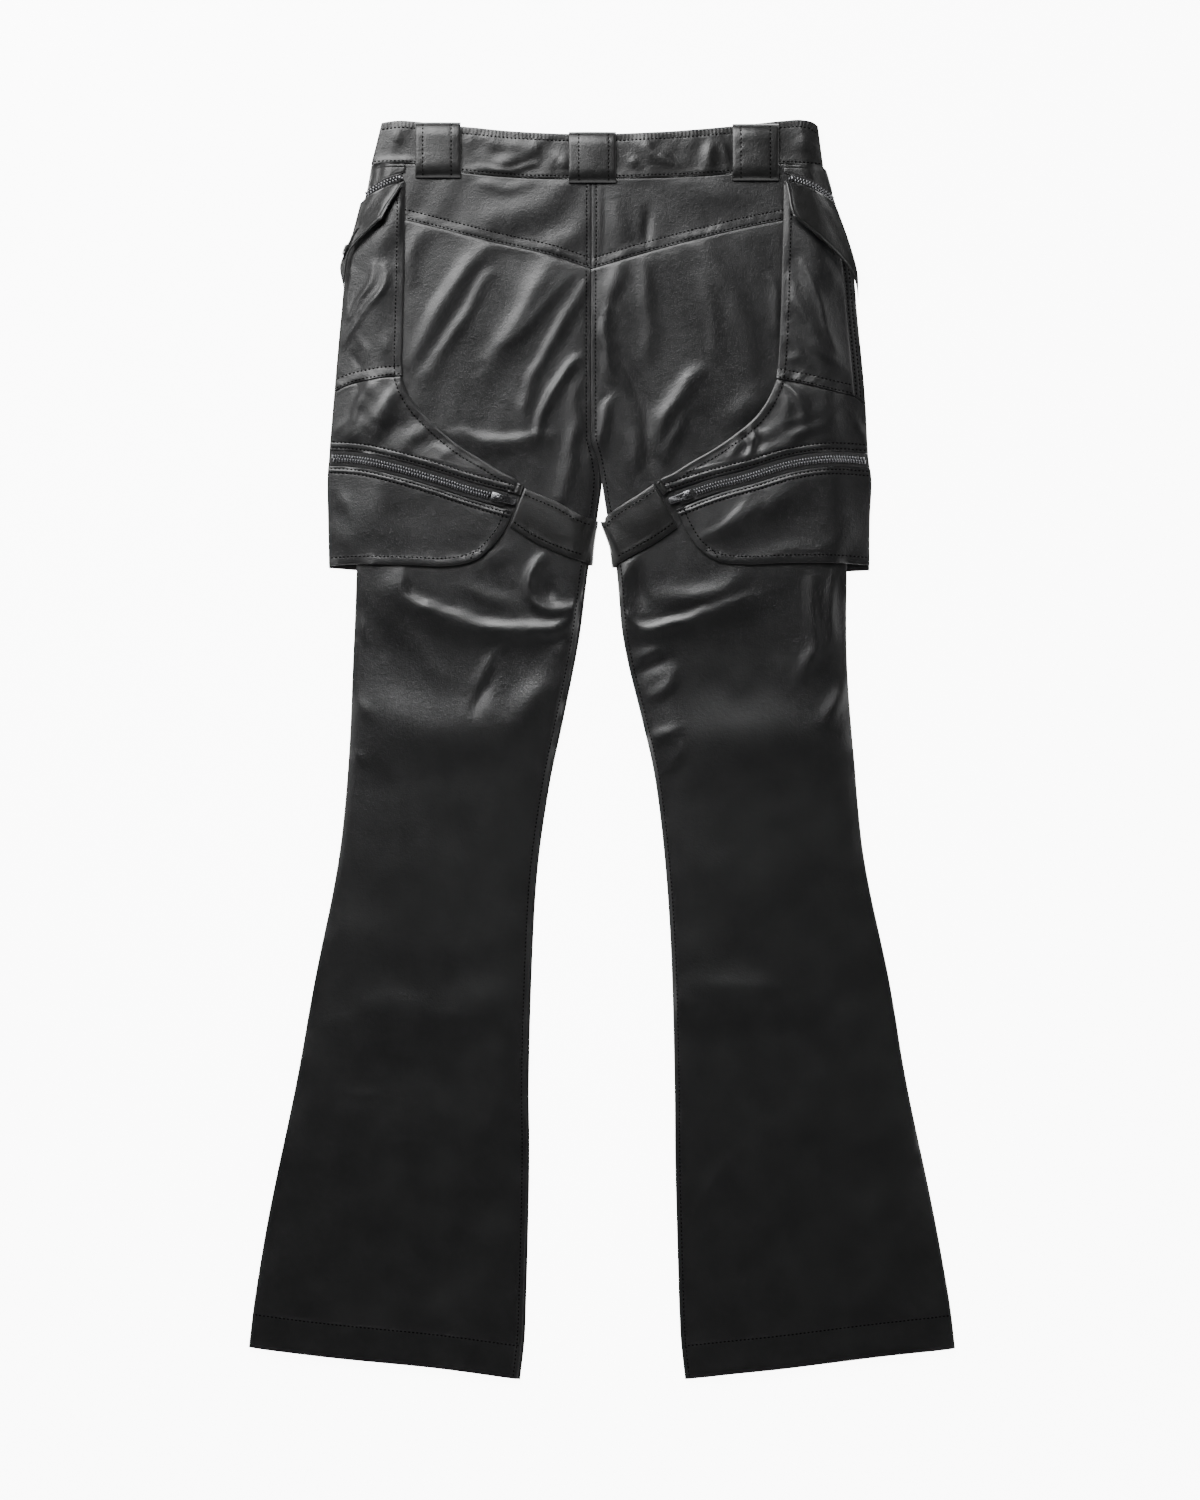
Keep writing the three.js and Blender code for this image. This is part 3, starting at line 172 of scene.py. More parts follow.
def coated_leather(name, colour, pale, rough_low, rough_high):
    material, tree, shader, place = start_material(name, colour, rough_low)
    grain = add_node(
        tree, "ShaderNodeTexVoronoi", [("Vector", place)],
        feature="SMOOTH_F1", Scale=1000 / GRAIN, Smoothness=0.6,
    )
    fibre = add_node(
        tree, "ShaderNodeTexNoise", [("Vector", place)], Scale=1000 / RUB, Detail=5.0,
    )
    mottle = add_node(
        tree, "ShaderNodeTexNoise", [("Vector", place)], Scale=1000 / MOTTLE, Detail=4.0,
    )
    tone = add_node(tree, "ShaderNodeMix", [("Factor", mottle.outputs["Fac"])], data_type="RGBA")
    tone.inputs[6].default_value = linear(colour)
    tone.inputs[7].default_value = linear(pale)
    tree.links.new(tone.outputs[2], shader.inputs["Base Color"])
    both = add_node(
        tree, "ShaderNodeMath",
        [(0, mottle.outputs["Fac"]), (1, fibre.outputs["Fac"])], operation="MULTIPLY",
    )
    rough = add_node(
        tree, "ShaderNodeMapRange", [("Value", both.outputs[0])],
        From_Min=RUBBED[0], From_Max=RUBBED[1], To_Min=rough_low, To_Max=rough_high,
    )
    tree.links.new(rough.outputs[0], shader.inputs["Roughness"])
    pebble = add_node(
        tree, "ShaderNodeTexNoise", [("Vector", place)], Scale=1000 / PEBBLE, Detail=2.0,
    )
    broad = add_node(
        tree, "ShaderNodeBump", [("Height", pebble.outputs["Fac"])],
        Strength=0.5, Distance=2 * GRAIN_DEPTH,
    )
    bump = add_node(
        tree, "ShaderNodeBump",
        [("Height", grain.outputs["Distance"]), ("Normal", broad.outputs[0])],
        Strength=0.6, Distance=GRAIN_DEPTH,
    )
    tree.links.new(bump.outputs[0], shader.inputs["Normal"])
    return material


TROUSER_LEATHER = coated_leather("coated_leather_embossed", "#070708", "#0b0b0c", 0.33, 0.41)
TRIM_LEATHER = coated_leather("coated_leather_pressed", "#070707", "#0b0b0b", 0.31, 0.39)

# %% [markdown]
# ### Zip tape, zip metal and thread
# Zip tape is woven polyester with a herringbone about 0.6 mm wide, matt and very dark. The
# teeth and slider are zinc plated with black nickel, a dark metal that was tumbled smooth.
# The thread is bonded polyester, whose coat holds the twist together. It is drawn nearly black and
# almost without sheen, so that its dark also paints the shade of the holes it is pulled into.

# %% Zip tape, zip metal and thread
WAVE = math.pi / 10  # the length of one band of a wave texture of scale 1
HERRINGBONE = 2.375  # mm, four times the real width so that it shows
HERRINGBONE_DEPTH = 0.1 * MM
SCUFF = 1.11  # mm between the marks that tumbling leaves
TWIST = 1.57  # mm, longer than the real twist so that it shows
TWIST_DEPTH = 0.05 * MM


def woven_tape():
    material, tree, shader, place = start_material("woven_polyester_tape", "#0d0d0e", 0.85)
    shader.inputs["Sheen Weight"].default_value = 0.05
    ribs = add_node(
        tree, "ShaderNodeTexWave", [("Vector", place)],
        wave_type="BANDS", bands_direction="X", Scale=1000 * WAVE / HERRINGBONE, Distortion=0.4,
    )
    bump = add_node(
        tree, "ShaderNodeBump", [("Height", ribs.outputs["Fac"])],
        Strength=0.6, Distance=HERRINGBONE_DEPTH,
    )
    tree.links.new(bump.outputs[0], shader.inputs["Normal"])
    return material


def black_nickel():
    material, tree, shader, place = start_material("black_nickel_plate", "#5c5c5e", 0.2, 1.0)
    scuff = add_node(
        tree, "ShaderNodeTexNoise", [("Vector", place)], Scale=1000 / SCUFF, Detail=3.0,
    )
    rough = add_node(
        tree, "ShaderNodeMapRange", [("Value", scuff.outputs["Fac"])], To_Min=0.18, To_Max=0.38,
    )
    tree.links.new(rough.outputs[0], shader.inputs["Roughness"])
    return material


def thread_with_painted_hole_shade():
    # nearly black and almost without sheen: the thread's own dark, and painted shade of the holes it
    # is pulled into
    material, tree, shader, place = start_material("polyester_thread_painted_hole_shade", "#020202", 0.8)
    shader.inputs["Specular IOR Level"].default_value = 0.06
    twist = add_node(
        tree, "ShaderNodeTexWave", [("Vector", place)],
        wave_type="BANDS", bands_direction="DIAGONAL", Scale=2000 * WAVE / TWIST,
    )
    bump = add_node(
        tree, "ShaderNodeBump", [("Height", twist.outputs["Fac"])],
        Strength=0.4, Distance=TWIST_DEPTH,
    )
    tree.links.new(bump.outputs[0], shader.inputs["Normal"])
    return material


ZIP_TAPE = woven_tape()
ZIP_METAL = black_nickel()
THREAD_AND_HOLE_SHADE = thread_with_painted_hole_shade()
print(len(bpy.data.materials), "materials")

# %% [markdown]
# ## Floor
# The garment lies on a plain table of white acrylic that is lit a little from below, as
# product tables are, so that it stays white beside so dark a thing.

# %% Lay the floor
FLOOR_HALF = 6.0
FLOOR_LEVEL = -0.5 * MM
TABLE_GLOW = 9.0


def finish_mesh(name, bm, material):
    """Makes an object at the origin from a bmesh, with smooth faces and one material."""
    mesh = bpy.data.meshes.new(name)
    bm.to_mesh(mesh)
    bm.free()
    mesh.polygons.foreach_set("use_smooth", [True] * len(mesh.polygons))
    mesh.materials.append(material)
    thing = bpy.data.objects.new(name, mesh)
    bpy.context.scene.collection.objects.link(thing)
    return thing


floor_material, _, floor_shader, _ = start_material("backlit_white_acrylic", "#fcfcfc", 0.9)
floor_shader.inputs["Emission Color"].default_value = WHITE
floor_shader.inputs["Emission Strength"].default_value = TABLE_GLOW
floor_mesh = bmesh.new()
bmesh.ops.create_grid(floor_mesh, x_segments=1, y_segments=1, size=FLOOR_HALF)
floor = finish_mesh("floor", floor_mesh, floor_material)
floor.location.z = FLOOR_LEVEL

# %% [markdown]
# ## Reading a panel's four sides
# Every panel of cloth is a four-sided patch. Its solid gives the exact outline and the height
# at which it lies, but only coarsely. So the upper skin of the solid is read once, by taking
# away its upright walls and keeping what joins its highest face. The four corners are the
# places where no more than two triangles of the skin meet, and between them run the top,
# outer, inner and bottom edges.

# %% Read the skin and sides of a solid
SAME_PLACE = 0.01 * MM
UPRIGHT = 0.01  # a wall's normal rises or falls less than this


def merged_copy(node):
    bm = bmesh.new()
    bm.from_mesh(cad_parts[node].data)
    bmesh.ops.remove_doubles(bm, verts=bm.verts, dist=SAME_PLACE)
    bm.normal_update()
    return bm


def keep_highest(bm, sharpest):
    """Keeps the highest face and what joins it over bends no sharper than this angle."""
    start = max(bm.faces, key=lambda face: face.calc_center_median().z)
    found = {start}
    waiting = [start]
    while waiting:
        for edge in waiting.pop().edges:
            if edge.calc_face_angle(0) > sharpest:
                continue
            fresh = [face for face in edge.link_faces if face not in found]
            found.update(fresh)
            waiting.extend(fresh)
    rest = [face for face in bm.faces if face not in found]
    bmesh.ops.delete(bm, geom=rest, context="FACES")


def skin_of(node):
    bm = merged_copy(node)
    walls = [face for face in bm.faces if abs(face.normal.z) < UPRIGHT]
    bmesh.ops.delete(bm, geom=walls, context="FACES")
    keep_highest(bm, math.pi)
    return bm


def starting_at(line, point):
    """The line, turned round where its far end is the one near the point."""
    first, last = (np.linalg.norm(line[end] - point) for end in (0, -1))
    return line if first < last else line[::-1]


def sides_of(bm, outward, strip=False):
    """The four sides as arrays of points: top and bottom from outer to inner, others down.
    The top is the side whose middle is highest, or on a strip its higher long side."""
    corners = [v for v in bm.verts if v.is_boundary and len(v.link_faces) <= 2]
    if len(corners) != 4:
        raise ValueError(f"a panel needs 4 corners, not {len(corners)}")
    lines = []
    vert = corners[0]
    edge = next(e for e in vert.link_edges if e.is_boundary)
    for _ in range(4):
        line = [vert.co[:]]
        while True:
            vert = edge.other_vert(vert)
            line.append(vert.co[:])
            edge = next(e for e in vert.link_edges if e.is_boundary and e is not edge)
            if vert in corners:
                break
        lines.append(np.array(line))
    rank = [line[len(line) // 2][1] for line in lines]
    if strip:
        rank = [np.linalg.norm(np.diff(line, axis=0), axis=1).sum() * line[:, 1].mean()
                for line in lines]
    first = rank.index(max(rank))
    top, side_a, bottom, side_b = (lines[(first + i) % 4] for i in range(4))
    if outward * side_a[:, 0].mean() < outward * side_b[:, 0].mean():
        side_a, side_b = side_b, side_a
    outer, inner = (s if s[0][1] >= s[-1][1] else s[::-1] for s in (side_a, side_b))
    top, bottom = starting_at(top, outer[0]), starting_at(bottom, outer[-1])
    return {"top": top, "bottom": bottom, "outer": outer, "inner": inner}


# %% [markdown]
# ## Curves through points
# A sewn edge is a smooth curve, so each side is read as a curve through its points, at
# shares of its length. The shares crowd together where detail is fine, such as a stitched
# edge, and spread out over plain cloth.

# %% Curves and shares
def curve_through(points, shares):
    """Points at shares of the length of a smooth curve through the given points."""
    points = np.asarray(points, float)
    step = np.linalg.norm(np.diff(points, axis=0), axis=1)
    run = np.concatenate([[0], np.cumsum(step)])
    slope = np.gradient(points, run, axis=0)
    wanted = np.asarray(shares) * run[-1]
    k = np.clip(np.searchsorted(run, wanted, side="right") - 1, 0, len(step) - 1)
    t = ((wanted - run[k]) / step[k])[:, None]
    ease = t * t * (3 - 2 * t)
    bend = t * (1 - t) * step[k][:, None]
    return points[k] + (points[k + 1] - points[k]) * ease + bend * (
        (1 - t) * slope[k] - t * slope[k + 1]
    )


def crowded_shares(length, marks, fine, coarse, spread=0.35):
    """Shares from 0 to 1 whose steps are fine at the marks (mm from the start) and coarse away."""
    place = 0.0
    found = [0.0]
    while place < length:
        nearest = min((abs(place - mark) for mark in marks), default=length)
        place += min(coarse, fine + spread * nearest)
        found.append(place)
    return np.array(found) / found[-1]


# %% [markdown]
# ## Distances
# Seams, turned edges and creases all depend on how far a point of the cloth lies from a
# line. One helper gives that distance, the place along the line and the side of it.

# %% Distance from a line
def distance_to(points, line):
    best = np.full(len(points), np.inf)
    along = np.zeros(len(points))
    side = np.ones(len(points))
    run = 0.0
    for a, b in zip(line[:-1], line[1:]):
        step = b - a
        length = math.hypot(*step)
        if length == 0:
            continue
        offset = points - a
        share = np.clip((offset @ step) / length**2, 0, 1)
        gap = offset - share[:, None] * step
        reach = np.hypot(gap[:, 0], gap[:, 1])
        closer = reach < best
        best[closer] = reach[closer]
        along[closer] = run + share[closer] * length
        side[closer] = np.sign(step[0] * gap[closer, 1] - step[1] * gap[closer, 0])
        run += length
    return best, along / run, side


def smooth_step(low, high, value):
    t = np.clip((value - low) / (high - low), 0, 1)
    return t * t * (3 - 2 * t)


KNOTS = 4096  # random values on a wavering line, after which it repeats
KNOT_ROWS = 64  # and on each side of an uneven surface
LINE_START = 1000  # knots before a place of 0, so that none is below zero
SURFACE_START = 32


def waver(places, pitch, seed):
    """A smooth random line between -1 and 1 whose waves are about one pitch long."""
    knots = np.random.default_rng(seed).uniform(-1, 1, KNOTS)
    scaled = np.asarray(places) / pitch + LINE_START
    low = np.floor(scaled).astype(int)
    ease = smooth_step(0, 1, scaled - low)
    return knots[low % KNOTS] * (1 - ease) + knots[(low + 1) % KNOTS] * ease


def uneven(points, pitch, seed):
    """A smooth random surface between -1 and 1 with waves about one pitch wide."""
    knots = np.random.default_rng(seed).uniform(-1, 1, (KNOT_ROWS, KNOT_ROWS))
    scaled = points / pitch + SURFACE_START
    low = np.floor(scaled).astype(int)
    ease = smooth_step(0, 1, scaled - low)
    i, j = low.T % KNOT_ROWS
    i_next, j_next = (i + 1) % KNOT_ROWS, (j + 1) % KNOT_ROWS
    ease_x, ease_y = ease.T
    lower = knots[i, j] * (1 - ease_x) + knots[i_next, j] * ease_x
    upper = knots[i, j_next] * (1 - ease_x) + knots[i_next, j_next] * ease_x
    return lower * (1 - ease_y) + upper * ease_y


# %% [markdown]
# ## Creases
# Soft leather that lies flat keeps long shallow ridges where it was pulled tight between two seams,
# and lobes where it is slack. Each one is listed: three points that it runs through, its half width
# and its height, which is negative for a trough. Its lean makes one flank steeper than the other, as
# in a fold that has slumped.

# %% Tables of creases, in mm
def rows(columns, values):
    names = columns.split()
    return [dict(zip(names, row)) for row in values]


CREASE = "x0 y0 x1 y1 x2 y2 width height lean"
SEAT_CREASES = rows(CREASE, [
    # left half of the seat, from the side to the centre seam
    [-104, 453, -143, 402, -169, 346, 6, 1.3, 0.2],
    [-101, 426, -140, 365, -163, 334, 5, 1.2, 0.2],
    [-46, 434, -77, 382, -101, 349, 10, 1.7, 0.3],
    [-33, 422, -62, 387, -85, 363, 4, 0.6, 0],
    [-18, 416, -52, 355, -73, 309, 4.5, 1.3, 0.2],
    [-73, 312, -72, 298, -68, 286, 5, 0.9, 0],
    [-24, 354, -48, 320, -61, 283, 3.5, 1.8, 0.3],
    [-24, 324, -26, 280, -38, 227, 5.5, 1.5, 0],
    [-161, 466, -169, 446, -171, 422, 6, 1.0, 0],
    [-128, 283, -92, 278, -56, 282, 7, 1.3, -0.4],
    [-38, 506, -62, 486, -108, 474, 13, 1.3, 0],
    [-108, 508, -89, 506, -69, 508, 5, 0.6, 0],
    [-20, 470, -34, 456, -52, 452, 8, 0.9, 0],
    # right half
    [36, 439, 43, 394, 42, 355, 6, 1.1, 0],
    [86, 455, 118, 406, 136, 346, 9, 1.5, 0],
    [91, 422, 101, 384, 104, 355, 6, 0.8, 0],
    [88, 339, 58, 304, 52, 268, 6, 1.9, 0],
    [71, 301, 66, 282, 56, 258, 4, 1.0, 0],
    [14, 355, 40, 300, 46, 262, 7, -1.6, 0],
    [2, 392, 1, 366, 6, 334, 4, 1.8, 0.4],
    [5, 312, -2, 296, -1, 272, 4, 1.7, 0.4],
    [28, 279, 31, 268, 34, 257, 5, 1.0, 0],
    [116, 297, 131, 308, 141, 322, 9, 1.1, 0],
    [151, 422, 157, 404, 157, 378, 4, 0.8, 0],
    [9, 494, 14, 474, 18, 453, 8, 1.0, 0],
    [41, 484, 42, 470, 42, 458, 4, -1.0, 0],
    [14, 437, 11, 418, 2, 396, 5, 1.2, 0],
    [79, 508, 100, 500, 124, 499, 10, 0.6, 0],
])
LEG_CREASES = rows(CREASE, [
    # left thigh and knee
    [-178, 154, -174, 136, -148, 126, 7, 2.0, -0.4],
    [-156, 127, -100, 110, -45, 111, 8, 2.2, -0.4],
    [-62, 107, -38, 113, -25, 132, 5, 1.8, -0.3],
    [-57, 172, -67, 146, -54, 126, 4, 2.2, 0.3],
    [-56, 126, -42, 122, -27, 131, 4, 1.6, 0.3],
    [-46, 150, -46, 140, -42, 134, 6, -1.4, 0],
    [-122, 148, -101, 138, -82, 130, 7, 1.0, 0],
    [-186, 152, -194, 130, -172, 98, 9, 1.3, 0],
    [-94, 87, -104, 73, -113, 58, 7, 1.3, 0.4],
    [-93, 80, -103, 61, -114, 36, 5, -1.3, 0],
    [-163, 95, -153, 76, -141, 51, 9, 0.7, 0],
    [-44, 64, -60, 48, -74, 26, 11, 1.5, 0],
    [-212, 34, -150, 22, -75, 18, 26, 1.8, -0.2],
    [-220, 122, -217, 108, -213, 97, 3.5, 0.8, 0],
    [-219, 46, -215, 38, -207, 32, 5, 0.8, 0],
    [-31, 96, -36, 88, -42, 80, 6, 0.9, 0],
    [-225, 3, -220, -4, -213, -10, 4, 0.7, 0],
    [-106, 164, -98, 170, -88, 176, 8, 0.8, 0],
    # right thigh and knee
    [26, 168, 15, 142, 22, 120, 5, 2.0, 0.3],
    [22, 120, 44, 110, 90, 123, 6, 2.2, -0.4],
    [86, 122, 110, 130, 134, 138, 8, 1.6, -0.4],
    [54, 137, 88, 139, 122, 154, 7, 1.6, 0],
    [31, 154, 34, 142, 36, 130, 5, -1.5, 0],
    [189, 150, 188, 120, 192, 92, 5, 1.5, 0],
    [198, 90, 188, 82, 180, 68, 6, 1.5, 0],
    [209, 158, 207, 130, 206, 100, 4, 1.3, 0],
    [219, 57, 209, 41, 199, 24, 6, 1.5, 0],
    [62, 16, 130, 18, 200, 16, 26, 1.8, -0.2],
    [50, 87, 41, 85, 32, 80, 5, 1.2, 0],
    [57, 80, 46, 76, 36, 69, 6, -1.3, 0],
    [63, 70, 59, 55, 44, 47, 5, 1.2, 0],
    [44, 8, 55, 14, 67, 20, 5, 1.2, 0],
    [65, 6, 68, -2, 56, -16, 5, 0.9, 0],
    # lower legs
    [-190, -30, -178, -120, -165, -215, 42, 2.2, 0],
    [-205, -300, -190, -380, -180, -470, 40, 1.2, 0],
    [120, -40, 128, -120, 130, -205, 40, 1.6, 0],
    [150, -300, 165, -380, 170, -470, 45, 1.2, 0],
    [-214, -234, -180, -229, -150, -231, 18, 0.9, -0.3],
    [-124, -226, -108, -223, -92, -222, 14, 0.8, -0.2],
    [-112, -262, -98, -256, -84, -250, 12, -0.9, 0],
    [-231, -306, -216, -310, -200, -309, 3, 0.35, 0],
    [-186, -356, -178, -352, -168, -353, 3, 0.35, 0],
    [-265, -370, -246, -436, -200, -480, 22, -1.2, 0],
    [-200, -480, -150, -482, -116, -436, 22, -1.2, 0],
    [-116, -436, -96, -396, -78, -350, 18, -0.9, 0],
    [-80, -293, -104, -342, -112, -386, 8, 0.5, 0],
    [80, -214, 120, -211, 158, -216, 17, 1.5, -0.4],
    [68, -224, 76, -228, 84, -230, 6, 0.6, 0],
    [125, -361, 98, -392, 83, -424, 4, 0.5, 0],
    [280, -352, 256, -404, 219, -470, 14, 1.1, 0.2],
    [296, -492, 276, -498, 252, -500, 12, 0.7, 0],
    [86, -350, 94, -372, 92, -396, 10, -0.7, 0],
])
WIDE_CREASES = SEAT_CREASES + LEG_CREASES
BAND_CREASES = rows(CREASE, [
    [-188, 546, -185, 551, -181, 556, 6, 0.8, 0],
    [-198, 529, -186, 528, -173, 529, 3, 0.6, 0],
    [-104, 549, -88, 542, -62, 544, 5, 0.8, 0],
    [-62, 539, -79, 532, -104, 527, 5, 0.9, 0],
    [-110, 522, -84, 522, -60, 527, 3, 0.7, 0],
    [-37, 534, -33, 529, -32, 522, 4, 1.0, 0],
    [34, 545, 43, 535, 46, 522, 5, 1.0, 0],
    [50, 534, 56, 528, 63, 523, 4, 0.8, 0],
    [97, 546, 94, 532, 97, 521, 5, 1.0, 0],
    [105, 544, 110, 536, 113, 528, 4, 0.8, 0],
    [26, 530, 29, 526, 33, 522, 4, 0.6, 0],
    [176, 552, 182, 544, 188, 540, 6, 0.6, 0],
])
POCKET_CREASES = rows(CREASE, [
    # each pocket stands out under the edge of its flap and falls away from it
    [-184, 494, -194, 470, -222, 436, 13, 2.6, 0],
    [171, 490, 182, 458, 216, 424, 13, 2.2, 0],
    [-203, 436, -215, 410, -227, 387, 3, 1.3, 0.2],
    [-195, 434, -199, 412, -214, 391, 3, 1.5, 0.2],
    [-214, 391, -220, 382, -235, 362, 3, 1.2, 0.2],
    [-225, 430, -229, 410, -229, 388, 3, 0.8, 0],
    [-219, 368, -215, 356, -217, 345, 4, 0.8, 0],
    [-191, 372, -193, 364, -194, 354, 5, 0.7, 0],
    [-226, 354, -222, 348, -218, 342, 2.2, -0.7, 0],
    [180, 434, 192, 408, 201, 380, 3.5, 1.6, 0.2],
    [201, 380, 206, 368, 212, 355, 3, 1.1, 0.2],
    [167, 422, 178, 394, 188, 375, 4, 1.4, 0.2],
    [188, 375, 200, 357, 215, 342, 4, 1.3, 0.2],
    [165, 375, 172, 362, 185, 348, 5, 1.3, 0],
    [165, 348, 171, 350, 178, 351, 3.5, 0.8, 0],
    [206, 430, 208, 422, 209, 412, 4, 0.6, 0],
])
THIGH_CREASES = rows(CREASE, [
    # left side panel
    [-210, 328, -220, 306, -227, 284, 4, 1.5, 0.2],
    [-185, 325, -196, 306, -215, 289, 5, 1.5, 0.2],
    [-190, 304, -198, 290, -205, 278, 5, 1.0, 0],
    [-229, 299, -235, 292, -242, 283, 2.5, 0.6, 0],
    [-195, 278, -187, 286, -176, 293, 6, -1.1, 0],
    [-179, 269, -168, 281, -156, 288, 6, 0.9, 0],
    [-145, 262, -139, 266, -132, 269, 5, 0.7, 0],
    [-162, 276, -150, 278, -142, 282, 5, -0.7, 0],
    # right side panel
    [161, 331, 173, 317, 183, 295, 3.5, 1.7, 0.2],
    [159, 328, 164, 311, 166, 294, 3.5, 1.2, 0],
    [195, 318, 201, 304, 208, 288, 7, 0.6, 0],
    [228, 301, 232, 292, 238, 281, 3, 0.8, 0],
    [134, 291, 136, 277, 130, 263, 3, 1.4, 0],
    [119, 276, 119, 269, 116, 263, 3, 1.0, 0],
    [127, 281, 129, 273, 129, 266, 2.5, -1.1, 0],
    [143, 284, 142, 275, 140, 266, 4, -1.0, 0],
    [148, 268, 168, 276, 185, 288, 5, 1.3, 0],
    # left cuff
    [-236, 233, -231, 222, -227, 212, 5, 1.0, 0],
    [-238, 196, -226, 184, -222, 176, 7, 0.6, 0],
    [-206, 232, -180, 218, -150, 206, 12, -0.7, 0],
    # right cuff
    [129, 225, 119, 206, 92, 190, 4.5, 1.3, 0.2],
    [138, 222, 130, 208, 118, 198, 4, 0.8, 0],
    [172, 236, 149, 218, 132, 206, 9, 1.4, 0],
    [220, 206, 217, 192, 200, 184, 8, 0.9, 0],
    [200, 183, 170, 180, 138, 175, 7, 0.9, 0],
    [190, 222, 178, 208, 160, 198, 11, -0.8, 0],
])
NO_CREASES = []
WANDER = 2.6  # mm by which a crease strays from the line that was judged
WANDER_PITCH = 21.0
STREAK = {"length": 75.0, "pitch": 15.0, "height": 0.34}  # mm, faint waves between the creases
STREAK_TURN = math.radians(64)  # down and outwards, on both halves of the seat
SEAT_STARTS = (215.0, 265.0)  # mm along Y, over which the seat's streaks come in
LEG_WAVE = {"length": 110.0, "pitch": 42.0, "height": 0.5}
CREASE_STATIONS = np.linspace(0, 1, 11)[:, None]
CREASE_REACH = 3.2  # half widths from its line, past which a crease adds nothing
FADE = (0.14, 0.72)  # the part of a sine arch that a crease rises and falls by
STREAK_SEEDS = {"seat": 301, "leg": 302, "wander": (303, 304)}
HALVES_APART = 20  # pitches between the two halves' streaks, so that they differ


def streak_heights(points):
    """Heights in mm of the long faint waves of slack leather between the creases."""
    x, y = np.abs(points[:, 0]), points[:, 1]
    along = x * math.cos(STREAK_TURN) - y * math.sin(STREAK_TURN)
    across = x * math.sin(STREAK_TURN) + y * math.cos(STREAK_TURN)
    across += np.where(points[:, 0] > 0, HALVES_APART * STREAK["pitch"], 0)
    squeezed = np.column_stack([along * STREAK["pitch"] / STREAK["length"], across])
    seat = STREAK["height"] * uneven(squeezed, STREAK["pitch"], STREAK_SEEDS["seat"])
    squeezed = np.column_stack([points[:, 0] * LEG_WAVE["pitch"] / LEG_WAVE["length"], y])
    leg = LEG_WAVE["height"] * uneven(squeezed, LEG_WAVE["pitch"], STREAK_SEEDS["leg"])
    share = smooth_step(*SEAT_STARTS, y)
    return share * seat + (1 - share) * leg


def crease_heights(points, table):
    """Summed heights in mm of the creases of a table at points in mm."""
    total = np.zeros(len(points))
    strays = [uneven(points, WANDER_PITCH, seed) for seed in STREAK_SEEDS["wander"]]
    points = points + WANDER * np.column_stack(strays)
    for row in table:
        start = np.array([row["x0"], row["y0"]], float)
        end = np.array([row["x2"], row["y2"]], float)
        pull = 2 * np.array([row["x1"], row["y1"]], float) - (start + end) / 2
        t = CREASE_STATIONS
        line = (1 - t) ** 2 * start + 2 * t * (1 - t) * pull + t * t * end
        half_width = CREASE_SPREAD * row["width"]
        reach = CREASE_REACH * half_width
        near = np.all((points > line.min(0) - reach) & (points < line.max(0) + reach), axis=1)
        if not near.any():
            continue
        gap, share, side = distance_to(points[near], line)
        width = half_width * (1 + row["lean"] * side)
        fade = np.sin(math.pi * (FADE[0] + FADE[1] * share))
        total[near] += row["height"] * fade * np.exp(-((gap / width) ** 2))
    return total


print("creases:", len(WIDE_CREASES + BAND_CREASES + POCKET_CREASES + THIGH_CREASES))

# %% [markdown]
# ## A panel of cloth
# A panel starts as a bmesh grid. Its columns and rows are laid between the four sides of its
# solid, its height is read from the solid and smoothed, and then the creases and the sewn
# edges are added. A sewn edge can have these features, each at a distance from the edge:
# a turning, which is a second layer folded under; a bead, the roll of a doubled edge; a lift,
# where it stands up; a ditch, where the cloth dips into a seam; rows of stitches, which pull
# it down a little; a gather and ribs, the puckers that they make; and a puff between two
# rows. Last, Solidify gives the wall its thickness and Bevel rounds it.

# %% Shape a panel
PIECES = {}
EDGES = ("top", "bottom", "outer", "inner")
ROUNDING = 0.25  # mm, radius of every cut edge of the leather
CREASE_GAIN = 1.2  # the creases stand out this much more than first judged
CREASE_SPREAD = 1.2  # and are this much wider
DEEPEST = 2.3  # mm, the deepest trough, so that the wall stays off the layer below
ALLOWANCE = ((0.05, 1.45), (2.5, 1.45))  # mm beyond the seam and below the surface
LOWEST_ALLOWANCE = 2.9  # mm, so that its wall stays off the front
COVER_GAP = 0.25  # mm between a panel and the one that lies on it
PUCKER_PITCH = 6.5  # mm between the small gathers along a stitched seam
CALM_SHARES = (0, 0.25, 0.5, 0.75, 1)  # the few points that a doubtful side is redrawn from
RIB_PITCH = 3.4  # mm, one rib for each stitch where the thread pulls a narrow edge together
STITCH_SINK = 0.08  # mm by which a row of stitches pulls the leather down
STITCH_DIP = 0.9  # mm, half width of that dip
TURN_STEP = 1.8  # mm over which a turning ends
PUFF_STEP = 1.6  # mm over which a puff rises and falls
RIB_WAVER = 23.0  # mm over which the ribs grow and shrink
BEAD = {"middle": 0.42, "dip": 0.4, "past": 0.5, "dip_width": 0.6}  # of its width and its rise
INLAND = (0.5, 9.0)  # mm from the rim, over which the slack of the cloth comes in
CREASE_RIM = (-1.0, 5.0)  # mm from the rim, over which the creases come in
SWELL, SWELL_SMALL = 34.0, 15.0  # mm, pitches of the general unevenness
SIDE_POINTS = 60  # that a side is measured from
BEVEL_ANGLE = math.radians(55)  # only edges that are sharper are rounded
RIM_DROP = 0.2  # mm by which every cut edge rounds down
RIM_WIDTH = 0.8


